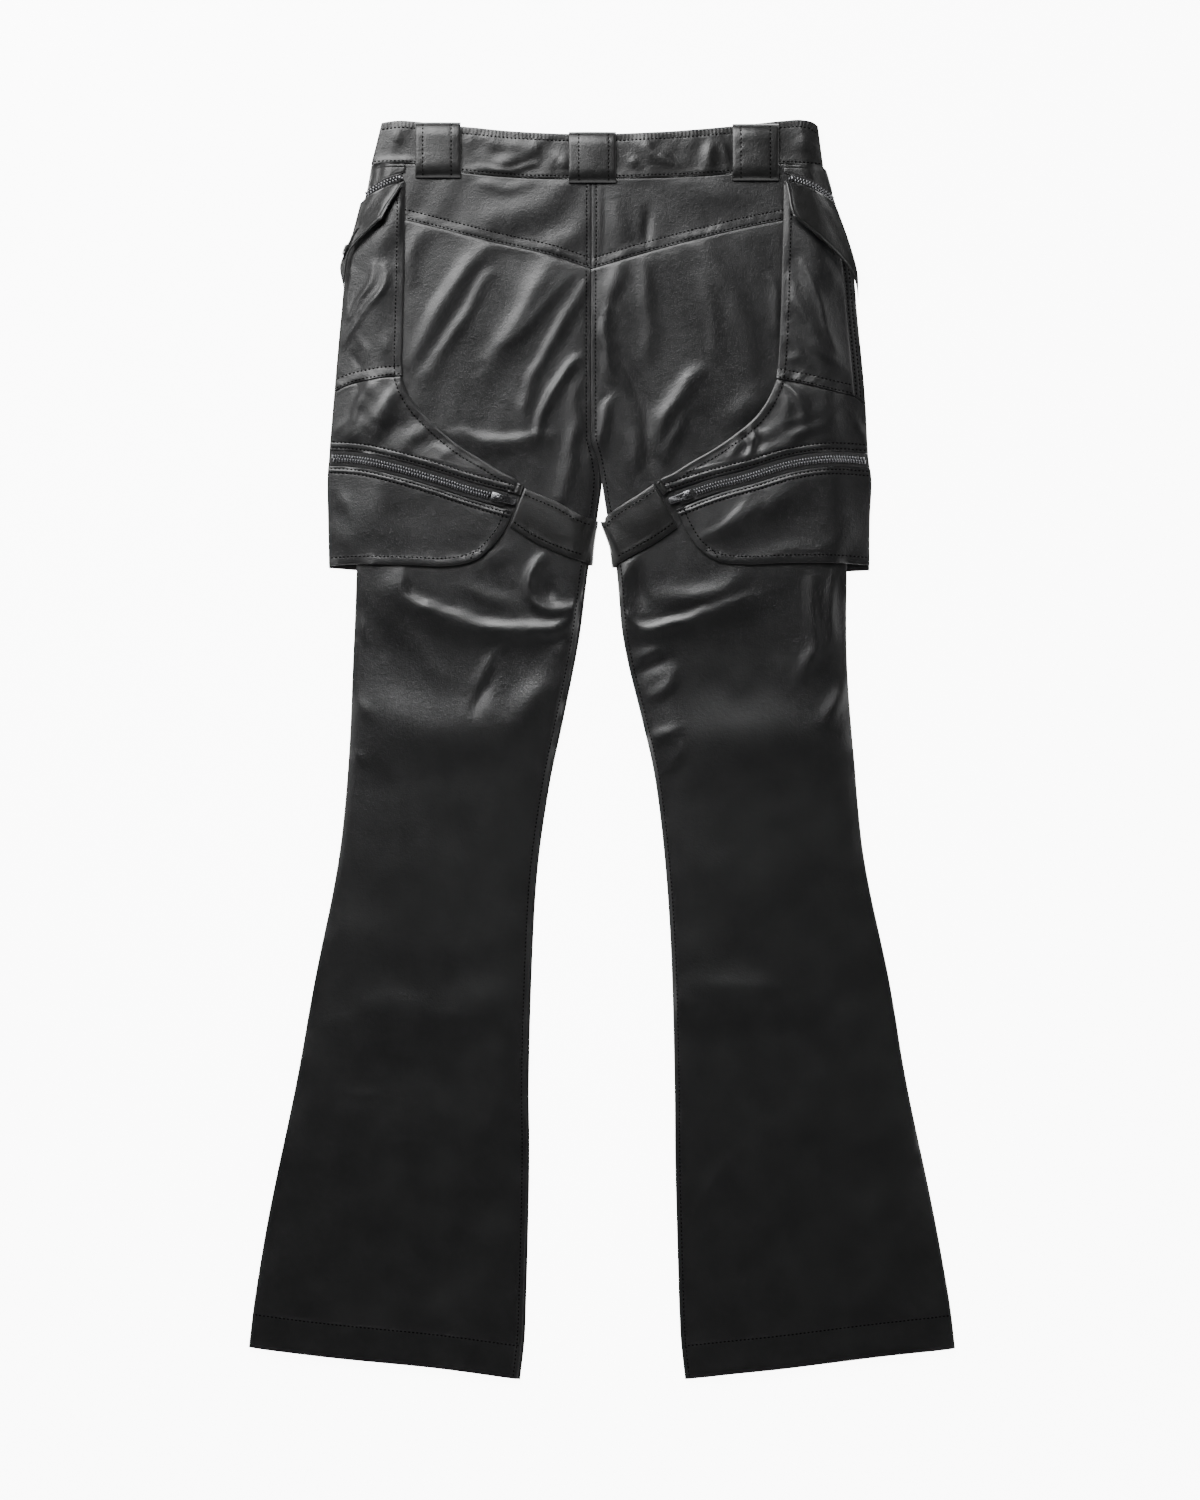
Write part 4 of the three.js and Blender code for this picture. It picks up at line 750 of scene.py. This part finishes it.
def edge_heights(gap, along, feature, seed):
    """Height in mm that a sewn edge adds at a distance gap from it, along mm down its line."""
    height = np.zeros(len(gap))
    if "turning" in feature:
        width, rise = feature["turning"]
        height += rise * (1 - smooth_step(width, width + TURN_STEP, gap))
    if "bead" in feature:
        width, rise = feature["bead"]
        height += rise * np.exp(-(((gap - width / 2) / (BEAD["middle"] * width)) ** 2))
        dip = (gap - width - BEAD["past"]) / BEAD["dip_width"]
        height -= BEAD["dip"] * rise * np.exp(-(dip**2))
    if "lift" in feature:
        rise, reach = feature["lift"]
        height += rise * np.exp(-((gap / reach) ** 2))
    if "ditch" in feature:
        width, depth = feature["ditch"]
        height -= depth * np.exp(-((gap / width) ** 2))
    for place in feature.get("stitches", ()):
        height -= STITCH_SINK * np.exp(-(((gap - place) / STITCH_DIP) ** 2))
    gather = feature.get("gather", 0.0)
    if gather:
        places = feature["stitches"]
        middle = sum(places) / len(places)
        spread = max(abs(places[-1] - places[0]) / 2 + 1.5, 3.0)
        slanted = along + 0.5 * (gap - middle)
        wave = waver(slanted, PUCKER_PITCH, seed)
        wave += 0.6 * waver(slanted, PUCKER_PITCH / 2.2, seed + 1)
        height += gather * wave * np.exp(-(((gap - middle) / spread) ** 2))
    if "ribs" in feature:
        width, rise = feature["ribs"]
        strength = 0.6 + 0.4 * waver(along, RIB_WAVER, seed + 2)
        pulled = rise * np.sin(2 * math.pi * along / RIB_PITCH) * strength
        height += pulled * (1 - smooth_step(width - 1, width + 1.5, gap))
    if "puff" in feature:
        low, high, rise = feature["puff"]
        inside = smooth_step(low, low + PUFF_STEP, gap)
        inside *= 1 - smooth_step(high - PUFF_STEP, high, gap)
        height += rise * inside
    return height


def read_heights(skin, points):
    """Height in metres of the skin under each plan point in metres."""
    tree = BVHTree.FromBMesh(skin)
    down = Vector((0, 0, -1))
    found = np.empty(len(points))
    for k, (x, y) in enumerate(points):
        hit = tree.ray_cast(Vector((x, y, 1)), down)[0]
        if hit is None:
            hit = tree.find_nearest(Vector((x, y, 0.01)))[0]
        found[k] = hit.z
    return found


def smooth_grid(heights, passes):
    """Relaxes the heights between the four sides, which stay as they are."""
    relaxed = heights.copy()
    for _ in range(passes):
        around = relaxed[:-2, 1:-1] + relaxed[2:, 1:-1] + relaxed[1:-1, :-2] + relaxed[1:-1, 2:]
        relaxed[1:-1, 1:-1] = 0.5 * relaxed[1:-1, 1:-1] + 0.125 * around
    return relaxed


def lay_plan(sides, across, down):
    """Points of the patch that four sides span, rows by columns."""
    top = curve_through(sides["top"], across)
    bottom = curve_through(sides["bottom"], across)
    outer = curve_through(sides["outer"], down)
    inner = curve_through(sides["inner"], down)
    s = across[None, :, None]
    t = down[:, None, None]
    blend = (1 - t) * top[None] + t * bottom[None] + (1 - s) * outer[:, None] + s * inner[:, None]
    corners = (1 - t) * ((1 - s) * top[0] + s * top[-1]) + t * ((1 - s) * bottom[0] + s * bottom[-1])
    return blend - corners


def marks_of(feature):
    """Distances at which an edge needs closer rows."""
    found = [0.0, *feature.get("stitches", ())]
    if "turning" in feature:
        found.append(feature["turning"][0])
    return found


def stations_of(edges, wide, tall, fine, cell):
    """Shares across and down, closer together at the marks of the edges."""
    marks = {key: marks_of(edges[key]) if key in edges else [] for key in EDGES}
    across = marks["outer"] + [wide - mark for mark in marks["inner"]]
    down = marks["top"] + [tall - mark for mark in marks["bottom"]]
    return crowded_shares(wide, across, fine, cell), crowded_shares(tall, down, fine, cell)


def length_mm(line):
    return np.linalg.norm(np.diff(line, axis=0), axis=1).sum() / MM


def make_shell(name, node, spatial, material, thickness, outward):
    """Lays a bmesh grid over rows and columns of points and gives it a wall below."""
    lines, columns = spatial.shape[:2]
    bm = bmesh.new()
    bmesh.ops.create_grid(bm, x_segments=columns - 1, y_segments=lines - 1, size=1.0)
    for vert in bm.verts:
        i = round((vert.co.x + 1) / 2 * (columns - 1))
        j = round((1 - vert.co.y) / 2 * (lines - 1))
        vert.co = spatial[j, columns - 1 - i if outward == 1 else i]
    shell = finish_mesh(name, bm, material)
    wall = shell.modifiers.new("wall", "SOLIDIFY")
    wall.thickness = thickness * MM
    wall.offset = -1.0
    rounding = shell.modifiers.new("rounding", "BEVEL")
    rounding.width = ROUNDING * MM
    rounding.segments = 2
    rounding.limit_method = "ANGLE"
    rounding.angle_limit = BEVEL_ANGLE
    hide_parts(node)
    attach(shell, "root")
    return shell


def outward_of(node):
    return 1 if node.endswith("_right") else -1


def make_panel(name, node, material, thickness, creases=NO_CREASES, edges=None, cell=2.0,
               fine=0.7, passes=10, unevenness=0.12, seed=1, crown=0.0, strip=False, covers=(),
               gain=CREASE_GAIN, allowance=False, calm=(), drop=RIM_DROP):
    """Replaces a solid by a shell. edges gives the features of its sides, sizes are in mm."""
    edges = edges or {}
    outward = outward_of(node)
    skin = skin_of(node)
    sides = {key: line[:, :2] for key, line in sides_of(skin, outward, strip).items()}
    for key in calm:
        sides[key] = curve_through(sides[key], CALM_SHARES)
    length = {key: length_mm(line) for key, line in sides.items()}
    wide = max(length["top"], length["bottom"])
    tall = max(length["outer"], length["inner"])
    plan = lay_plan(sides, *stations_of(edges, wide, tall, fine, cell))
    shape = plan.shape[:2]
    flat = plan.reshape(-1, 2)
    coarse = read_heights(skin, flat).reshape(shape) / MM
    skin.free()
    points = flat / MM
    gaps, alongs = {}, {}
    for key, line in sides.items():
        dense = curve_through(line / MM, np.linspace(0, 1, SIDE_POINTS))
        gaps[key], share, _ = distance_to(points, dense)
        alongs[key] = share * length[key]
    rim = np.min([gaps[key] for key in gaps], axis=0)
    heights = smooth_grid(coarse, passes).ravel()
    inland = smooth_step(*INLAND, rim)
    added = gain * crease_heights(points, creases) * smooth_step(*CREASE_RIM, rim)
    if creases is WIDE_CREASES:
        added += streak_heights(points) * inland
    swell = uneven(points, SWELL, seed) + 0.6 * uneven(points, SWELL_SMALL, seed + 7)
    added += unevenness * inland * swell
    added = np.maximum(added, -DEEPEST)
    for k, (key, feature) in enumerate(sorted(edges.items())):
        added += edge_heights(gaps[key], alongs[key], feature, seed * 10 + k)
    side_gap = np.minimum(gaps["outer"], gaps["inner"])
    added += crown * np.sqrt(smooth_step(0, 0.5 * wide, side_gap))
    added -= drop * np.exp(-((rim / RIM_WIDTH) ** 2))
    heights = (heights + added) * MM
    for cover in covers:
        heights = keep_below(cover, flat, coarse.ravel() * MM, heights)
    spatial = np.dstack([plan, heights.reshape(shape)])
    whole = tuck_under(spatial) if allowance else spatial
    PIECES[name] = {
        "object": make_shell(name, node, whole, material, thickness, outward),
        "grid": spatial,
        "gaps": {key: gap.reshape(shape) for key, gap in gaps.items()},
        "edges": edges,
    }


def tuck_under(spatial):
    """Adds the seam allowance along the inner side, which lies under the next panel."""
    edge = spatial[:, -1]
    ahead = edge[:, :2] - spatial[:, -3, :2]
    ahead /= np.linalg.norm(ahead, axis=1, keepdims=True)
    added = []
    for reach, drop in ALLOWANCE:
        row = edge.copy()
        row[:, :2] += ahead * reach * MM
        row[:, 2] = np.maximum(row[:, 2] - drop * MM, LOWEST_ALLOWANCE * MM)
        added.append(row[:, None])
    return np.concatenate([spatial, *added], axis=1)


def keep_below(cover, flat, start, heights):
    """Presses points down where a solid over their starting place leaves them no room."""
    bm = merged_copy(cover)
    tree = BVHTree.FromBMesh(bm)
    low, high = (Vector(corner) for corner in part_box(cover))
    bm.free()
    up = Vector((0, 0, 1))
    inside = (flat[:, 0] > low.x) & (flat[:, 0] < high.x)
    inside &= (flat[:, 1] > low.y) & (flat[:, 1] < high.y)
    for k in np.flatnonzero(inside):
        hit = tree.ray_cast(Vector((*flat[k], start[k])), up)[0]
        if hit:
            heights[k] = min(heights[k], hit.z - COVER_GAP * MM)
    return heights


# %% [markdown]


# %% [markdown]
# ## Legs and yoke
# Each leg is a front and a back, joined at both sides. The back carries the creases. Its
# hem is turned up 30 mm and held by one row of stitches. Along the centre seam the turning
# is stitched down on both sides. The yoke hangs from the waistband and its lower seam has
# two rows, with the leather gathered a little between them.

# %% Make the legs and the yoke
CLOTH = 1.3  # mm, thickness of the cloth
HEM_STITCH = 30.0
CENTRE_STITCH = 4.1
OVERLAY = ("pocket_top", "pocket_zip", "pocket_panel", "side_panel", "thigh_tape", "cuff_panel",
           "strap")

for k, side in enumerate(SIDES):
    make_panel(
        f"leg_front_shell_{side}", f"leg_front_{side}", TROUSER_LEATHER, CLOTH,
        cell=7.0, fine=1.2, passes=2, unevenness=0.0, seed=40 + k,
    )
    make_panel(
        f"leg_back_shell_{side}", f"leg_back_{side}", TROUSER_LEATHER, CLOTH,
        creases=WIDE_CREASES, cell=3.0, fine=0.8, passes=90, seed=50 + k, drop=0.0,
        allowance=side == "left",
        covers=[f"{cover}_{side}" for cover in OVERLAY],
        edges={
            "inner": {"stitches": (CENTRE_STITCH,), "ditch": (0.9, 0.1)},
            "bottom": {"stitches": (HEM_STITCH,), "gather": 0.16, "turning": (30.5, 0.35)},
        },
    )
    make_panel(
        f"yoke_shell_{side}", f"yoke_{side}", TROUSER_LEATHER, CLOTH,
        creases=WIDE_CREASES, cell=1.9, fine=0.7, passes=90, seed=60 + k, drop=0.0,
        allowance=side == "left",
        covers=[f"{cover}_{side}" for cover in OVERLAY],
        edges={
            "bottom": {"stitches": (1.6, 8.8), "lift": (0.5, 7.0), "gather": 0.18},
            "inner": {"stitches": (CENTRE_STITCH,), "ditch": (0.9, 0.1)},
        },
    )

# %% [markdown]
# ## Waistband and loops
# The waistband is a doubled strip, topstitched near both edges. The three wide loops are
# padded strips with a row of stitches down each side; they bow outwards so that a belt
# can pass, and their edges are rolled.

# %% Make the waistband and loops
BAND = 2.2  # mm, thickness of the doubled strip
LOOP = 2.2
LOOP_ROWS = {"left": (6.7, 8.4), "centre": (9.0, 6.5), "right": (7.5, 7.5)}  # mm from its sides

make_panel(
    "waistband_front_shell", "waistband_front", TRIM_LEATHER, BAND,
    cell=6.0, fine=1.2, passes=2, unevenness=0.0, seed=70,
)
make_panel(
    "waistband_back_shell", "waistband_back", TRIM_LEATHER, BAND,
    creases=BAND_CREASES, cell=1.0, fine=0.6, passes=40, seed=71,
    edges={
        "top": {"stitches": (6.2,), "gather": 0.1, "ribs": (6.2, 0.16)},
        "bottom": {"stitches": (2.4,), "gather": 0.12, "lift": (0.5, 6.0)},
    },
)
for k, (place, (outer_row, inner_row)) in enumerate(LOOP_ROWS.items()):
    make_panel(
        f"belt_loop_shell_{place}", f"belt_loop_{place}", TRIM_LEATHER, LOOP,
        cell=1.3, fine=0.5, passes=10, unevenness=0.25, seed=80 + k, crown=0.8,
        edges={
            "outer": {"stitches": (outer_row,), "gather": 0.1, "ditch": (1.0, 0.25)},
            "inner": {"stitches": (inner_row,), "gather": 0.1, "ditch": (1.0, 0.25)},
        },
    )

# %% [markdown]
# ## The layer over the thighs
# Each side has a strip above the pocket zip, a pocket panel, a flap, a side panel with a
# curved edge, and a cuff panel below the long zip. Free edges are turned under and stitched
# about 7 mm in. Next to the zip two rows hold the tape.

# %% Make the upper layer
TURNED = {"stitches": (6.8,), "turning": (6.6, 0.16), "gather": 0.12}
ZIP_ROWS = {"stitches": (2.3, 7.4), "gather": 0.1, "puff": (2.3, 7.4, 0.3)}
CUFF_ROWS = {"stitches": (2.3, 6.2), "gather": 0.1, "puff": (2.3, 6.2, 0.3)}
SEAM_ROWS = {"stitches": (1.6, 8.8), "lift": (0.5, 7.0), "gather": 0.2}
FRONT_CLOTH = 1.5  # mm, thickness of the front overlay
FLAP = 2.0  # mm, thickness of a flap, which is doubled
SHARP_GAIN = 0.75  # the narrow creases here are steep enough when they are lower

for k, side in enumerate(SIDES):
    make_panel(
        f"shorts_front_shell_{side}", f"shorts_front_{side}", TROUSER_LEATHER, FRONT_CLOTH,
        cell=7.0, fine=1.2, passes=2, unevenness=0.0, seed=90 + k,
    )
    make_panel(
        f"pocket_top_shell_{side}", f"pocket_top_{side}", TRIM_LEATHER, CLOTH,
        cell=1.3, fine=0.6, passes=4, unevenness=0.08, seed=100 + k, strip=True,
        edges={"bottom": {"bead": (1.8, 0.35)}},
    )
    make_panel(
        f"pocket_panel_shell_{side}", f"pocket_panel_{side}", TROUSER_LEATHER, CLOTH,
        creases=POCKET_CREASES, cell=1.5, fine=0.6, passes=120, seed=110 + k, gain=SHARP_GAIN,
        covers=[f"pocket_flap_{side}"],
        edges={"inner": TURNED, "bottom": SEAM_ROWS, "top": {"bead": (1.8, 0.35)}},
    )
    make_panel(
        f"side_panel_shell_{side}", f"side_panel_{side}", TROUSER_LEATHER, CLOTH,
        creases=THIGH_CREASES, cell=1.5, fine=0.6, passes=120, seed=120 + k, gain=SHARP_GAIN,
        edges={"inner": TURNED, "bottom": ZIP_ROWS},
    )
    make_panel(
        f"cuff_panel_shell_{side}", f"cuff_panel_{side}", TROUSER_LEATHER, CLOTH,
        creases=THIGH_CREASES, cell=1.5, fine=0.6, passes=120, seed=130 + k, gain=SHARP_GAIN,
        edges={
            "inner": TURNED,
            "bottom": {"stitches": (7.0,), "turning": (6.8, 0.16), "gather": 0.14},
            "top": CUFF_ROWS,
        },
    )
    make_panel(
        f"pocket_flap_shell_{side}", f"pocket_flap_{side}", TRIM_LEATHER, FLAP,
        cell=1.4, fine=0.5, passes=80, unevenness=0.1, seed=140 + k,
        calm=("outer",),
        edges={
            "bottom": {"bead": (2.4, 0.4), "lift": (5.0, 24)},
            "inner": {"bead": (2.4, 0.4), "lift": (2.5, 12)},
        },
    )

make_panel(
    "side_strip_shell_right", "side_strip_right", TROUSER_LEATHER, CLOTH,
    cell=1.2, fine=0.5, passes=4, unevenness=0.05, seed=150,
    edges={"inner": {"stitches": (1.8, 5.4), "gather": 0.08}},
)

# %% [markdown]
# ## Straps
# A strap leaves the cuff, crosses the inner thigh and bends round it under the leg. Seen from
# its side it is folded back on itself, so no height over the floor describes it. Its outer
# skin is gathered instead by walking from face to face wherever the bend between two faces
# is slight, and the detail is then added along the normals of the patch.

# %% Make the straps
SHARPEST_BEND = math.radians(60)  # between two faces of one skin
STRAP = 1.4  # mm, thickness
STRAP_CROWN = 0.9  # mm by which the padded middle stands over the edges
STRAP_EDGE = {"stitches": (5.5,), "gather": 0.12, "turning": (6.2, 0.2)}
STRAP_EDGES = {"top": STRAP_EDGE, "bottom": STRAP_EDGE}


def make_strap(name, node, material, thickness, edges, cell=1.6, fine=0.6, seed=1):
    outward = outward_of(node)
    skin = merged_copy(node)
    keep_highest(skin, SHARPEST_BEND)
    sides = sides_of(skin, outward, strip=True)
    skin.free()
    length = {key: length_mm(line) for key, line in sides.items()}
    wide = max(length["top"], length["bottom"])
    tall = max(length["outer"], length["inner"])
    across, down = stations_of(edges, wide, tall, fine, cell)
    spatial = lay_plan(sides, across, down)
    along = np.broadcast_to(across[None, :] * wide, spatial.shape[:2])
    fall = np.broadcast_to(down[:, None], spatial.shape[:2])
    breadth = np.linalg.norm(spatial[-1] - spatial[0], axis=1)[None, :] / MM
    gaps = {
        "top": fall * breadth, "bottom": (1 - fall) * breadth,
        "outer": along, "inner": wide - along,
    }
    rim = np.minimum.reduce(list(gaps.values()))
    added = (STRAP_CROWN * 4 * fall * (1 - fall)).ravel()
    added += -RIM_DROP * np.exp(-((rim / RIM_WIDTH) ** 2)).ravel()
    for k, (key, feature) in enumerate(sorted(edges.items())):
        added += edge_heights(gaps[key].ravel(), along.ravel(), feature, seed * 10 + k)
    normal = np.cross(np.gradient(spatial, axis=0), np.gradient(spatial, axis=1)) * -outward
    normal /= np.linalg.norm(normal, axis=2, keepdims=True)
    if normal[len(down) // 2, len(across) // 6, 2] < 0:
        normal = -normal
    spatial = spatial + normal * added.reshape(along.shape)[:, :, None] * MM
    PIECES[name] = {
        "object": make_shell(name, node, spatial, material, thickness, outward),
        "grid": spatial, "gaps": gaps, "edges": edges,
    }


for k, side in enumerate(SIDES):
    make_strap(
        f"strap_shell_{side}", f"strap_{side}", TRIM_LEATHER, STRAP, STRAP_EDGES, seed=160 + k
    )

# %% [markdown]
# ## Zip tapes and keepers
# Between the two lips of a zip only a narrow stretch of its woven tape shows. The keeper is
# a small folded end of leather that covers the last teeth.

# %% Make the tapes and keepers
TAPE = 0.8  # mm, thickness

for k, side in enumerate(SIDES):
    make_panel(
        f"thigh_tape_cloth_{side}", f"thigh_tape_{side}", ZIP_TAPE, TAPE,
        cell=1.6, fine=0.8, passes=4, unevenness=0.05, seed=170 + k, strip=True,
    )
    make_panel(
        f"pocket_tape_cloth_{side}", f"pocket_zip_{side}", ZIP_TAPE, TAPE,
        cell=1.4, fine=0.7, passes=2, unevenness=0.05, seed=180 + k, strip=True,
    )
    make_panel(
        f"keeper_fold_{side}", f"keeper_{side}", TRIM_LEATHER, CLOTH,
        cell=0.7, fine=0.4, passes=1, unevenness=0.0, seed=190 + k, strip=True,
        edges={"inner": {"stitches": (2.0,)}},
    )

# %% [markdown]
# ## Zip teeth
# The teeth of a metal zip are pressed onto the two tapes half a pitch apart, so that they
# interlock. One tooth is a bmesh cube, stretched by a matrix as it is made. All the teeth of a
# zip share one mesh, and a single bevel rounds them together.

# %% Make the teeth
CHAIN_TOOTH = {"pitch": 2.5, "long": 3.4, "thick": 1.5, "tall": 2.2, "inset": 1.4, "bevel": 0.4}
POCKET_TOOTH = {"pitch": 2.8, "long": 2.9, "thick": 1.5, "tall": 1.5, "inset": 1.1, "bevel": 0.28}
STOP = {"long": 3.6, "thick": 2.6, "tall": 1.8, "place": 0.93}  # place: share of the chain
CHAIN_SINK = 1.8  # mm by which the feet of the teeth lie below the plain chain's top
POCKET_SINK = 0.5
CHAIN_POINTS = 40
BATCH = 40  # shapes in one small mesh


def chain_line(node):
    """Middle of a strip's skin, from its outer end, as an array of points in metres."""
    skin = skin_of(node)
    sides = sides_of(skin, outward_of(node), strip=True)
    skin.free()
    shares = np.linspace(0, 1, CHAIN_POINTS)
    return (curve_through(sides["top"], shares) + curve_through(sides["bottom"], shares)) / 2


def placed(point, heading, sizes):
    """A matrix that puts a unit shape at a point, its length along the heading, sizes in mm."""
    forward = Vector(heading).normalized()
    right = forward.cross(Vector((0, 0, 1))).normalized()
    turn = Matrix((forward, right, right.cross(forward))).transposed().to_4x4()
    return Matrix.Translation(Vector(point)) @ turn @ Matrix.Diagonal((*sizes, 1000)) * MM


def spaced(line, pitch, start=0.0, end=0.0):
    """Points on a line every pitch mm, and its heading there."""
    run = length_mm(line)
    count = max(int((run - start - end) / pitch), 1)
    shares = (start + (np.arange(count) + 0.5) * (run - start - end) / count) / run
    ahead = curve_through(line, np.minimum(shares + 0.002, 1))
    behind = curve_through(line, np.maximum(shares - 0.002, 0))
    return curve_through(line, shares), ahead - behind


def scatter(make_one, places):
    """One bmesh with a shape at each matrix. An operator reads its whole mesh, so small
    batches that are joined at the end take far less time."""
    whole = bmesh.new()
    for first in range(0, len(places), BATCH):
        batch = bmesh.new()
        for place in places[first:first + BATCH]:
            make_one(batch, place)
        part = bpy.data.meshes.new("batch")
        batch.to_mesh(part)
        batch.free()
        whole.from_mesh(part)
        bpy.data.meshes.remove(part)
    return whole


def make_block(bm, place):
    bmesh.ops.create_cube(bm, size=1.0, matrix=place)


def make_teeth(name, node, tooth, stops, sink, replaced=True):
    blocks = []
    line = chain_line(node)
    points, headings = spaced(line, tooth["pitch"] / 2)
    for k, (point, heading) in enumerate(zip(points, headings)):
        across = Vector(heading).normalized().cross(Vector((0, 0, 1))).normalized()
        place = Vector(point) + across * tooth["inset"] * MM * (1 if k % 2 else -1)
        place.z += (tooth["tall"] / 2 - sink) * MM
        sizes = (tooth["thick"], tooth["long"], tooth["tall"])
        blocks.append(placed(place, heading, sizes))
    for share in stops:
        point = curve_through(line, [share])[0]
        behind, ahead = curve_through(line, [max(share - 0.02, 0), min(share + 0.02, 1)])
        place = Vector(point) + Vector((0, 0, STOP["tall"] / 2 * MM))
        sizes = (STOP["thick"], STOP["long"], STOP["tall"])
        blocks.append(placed(place, ahead - behind, sizes))
    bm = scatter(make_block, blocks)
    bmesh.ops.bevel(
        bm, geom=bm.edges, offset=tooth["bevel"] * MM, segments=1, profile=0.5,
        affect="EDGES", material=-1,
    )
    teeth = finish_mesh(name, bm, ZIP_METAL)
    if replaced:
        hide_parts(node)
    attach(teeth, "root")
    print(f"{name}: {len(points)} teeth")


for side in SIDES:
    make_teeth(f"thigh_teeth_{side}", f"thigh_chain_{side}", CHAIN_TOOTH, (), CHAIN_SINK)
    make_teeth(
        f"pocket_teeth_{side}", f"pocket_zip_{side}", POCKET_TOOTH, (STOP["place"],),
        POCKET_SINK, replaced=False,
    )

# %% [markdown]
# ## Slider and pull
# Slider, crown and pull are die-cast and tumbled, so no edge is sharp. Their solids have the
# right form, so each is copied, merged and bevelled. Only the pull moves, on its own body.

# %% Round the castings
CAST_EDGE = 0.22  # mm, radius that tumbling leaves
FLAT_JOIN = math.radians(1)  # between two triangles of one flat face
SHARP_JOIN = math.radians(25)


def round_casting(name, node, body):
    bm = merged_copy(node)
    flat_joins = [edge for edge in bm.edges if edge.calc_face_angle(0) < FLAT_JOIN]
    bmesh.ops.dissolve_edges(bm, edges=flat_joins, use_verts=False)
    sharp = [edge for edge in bm.edges if edge.calc_face_angle(0) > SHARP_JOIN]
    bmesh.ops.bevel(
        bm, geom=sharp, offset=CAST_EDGE * MM, segments=2, profile=0.5,
        affect="EDGES", material=-1, clamp_overlap=True,
    )
    casting = finish_mesh(name, bm, ZIP_METAL)
    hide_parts(node)
    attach(casting, body)


for side in SIDES:
    round_casting(f"slider_casting_{side}", f"zip_slider_{side}", "root")
    round_casting(f"pull_casting_{side}", f"pull_tab_{side}", f"pull_{side}")

# %% [markdown]
# ## Stitches
# Topstitching is a row of short floats of thread, each pulled into the leather at its ends.
# Each float is a small ellipsoid, made from a bmesh sphere, about twice as wide as real thread, so
# that its dark also paints the shade of the stitch holes beside it. A row lies at its distance from
# its edge, which is looked up in the panel's own grid, so it always runs in its groove.

# %% Sew the rows
# wide is about twice a real thread, so that the floats also paint the shade of their holes
STITCH = {"pitch": 3.6, "long": 2.4, "wide": 1.3, "tall": 0.7, "stand": 0.21}  # mm
ROW_ENDS = 1.5  # mm left free at both ends of a row
SHOWN = {"strap_shell_left": 0.62, "strap_shell_right": 0.62}  # share of a row that can be seen


def seam_line(name, key, distance):
    """Points of the skin at a distance in mm from one of its sides."""
    grid, gap = PIECES[name]["grid"], PIECES[name]["gaps"][key]
    if key in ("outer", "inner"):
        grid, gap = grid.transpose(1, 0, 2), gap.T
    if key in ("bottom", "inner"):
        grid, gap = grid[::-1], gap[::-1]
    found = []
    for column in range(grid.shape[1]):
        beyond = int(np.argmax(gap[:, column] >= distance))
        if beyond == 0:
            continue
        low, high = gap[beyond - 1, column], gap[beyond, column]
        share = (distance - low) / (high - low)
        found.append(grid[beyond - 1, column] * (1 - share) + grid[beyond, column] * share)
    return np.array(found[: int(len(found) * SHOWN.get(name, 1.0))])


def make_stitch(bm, place):
    bmesh.ops.create_uvsphere(bm, u_segments=6, v_segments=4, radius=1.0, matrix=place)


def sew(name):
    floats = []
    for key, feature in PIECES[name]["edges"].items():
        for distance in feature.get("stitches", ()):
            line = seam_line(name, key, distance)
            points, headings = spaced(line, STITCH["pitch"], ROW_ENDS, ROW_ENDS)
            for point, heading in zip(points, headings):
                place = Vector(point) + Vector((0, 0, STITCH["stand"] * MM))
                sizes = (STITCH["long"] / 2, STITCH["wide"] / 2, STITCH["tall"] / 2)
                floats.append(placed(place, heading, sizes))
    thread = finish_mesh(f"{name}_stitches", scatter(make_stitch, floats), THREAD_AND_HOLE_SHADE)
    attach(thread, "root")
    return len(floats)


sewn = {name: sew(name) for name, piece in PIECES.items()
        if any("stitches" in feature for feature in piece["edges"].values())}
print(sum(sewn.values()), "stitches on", len(sewn), "panels")
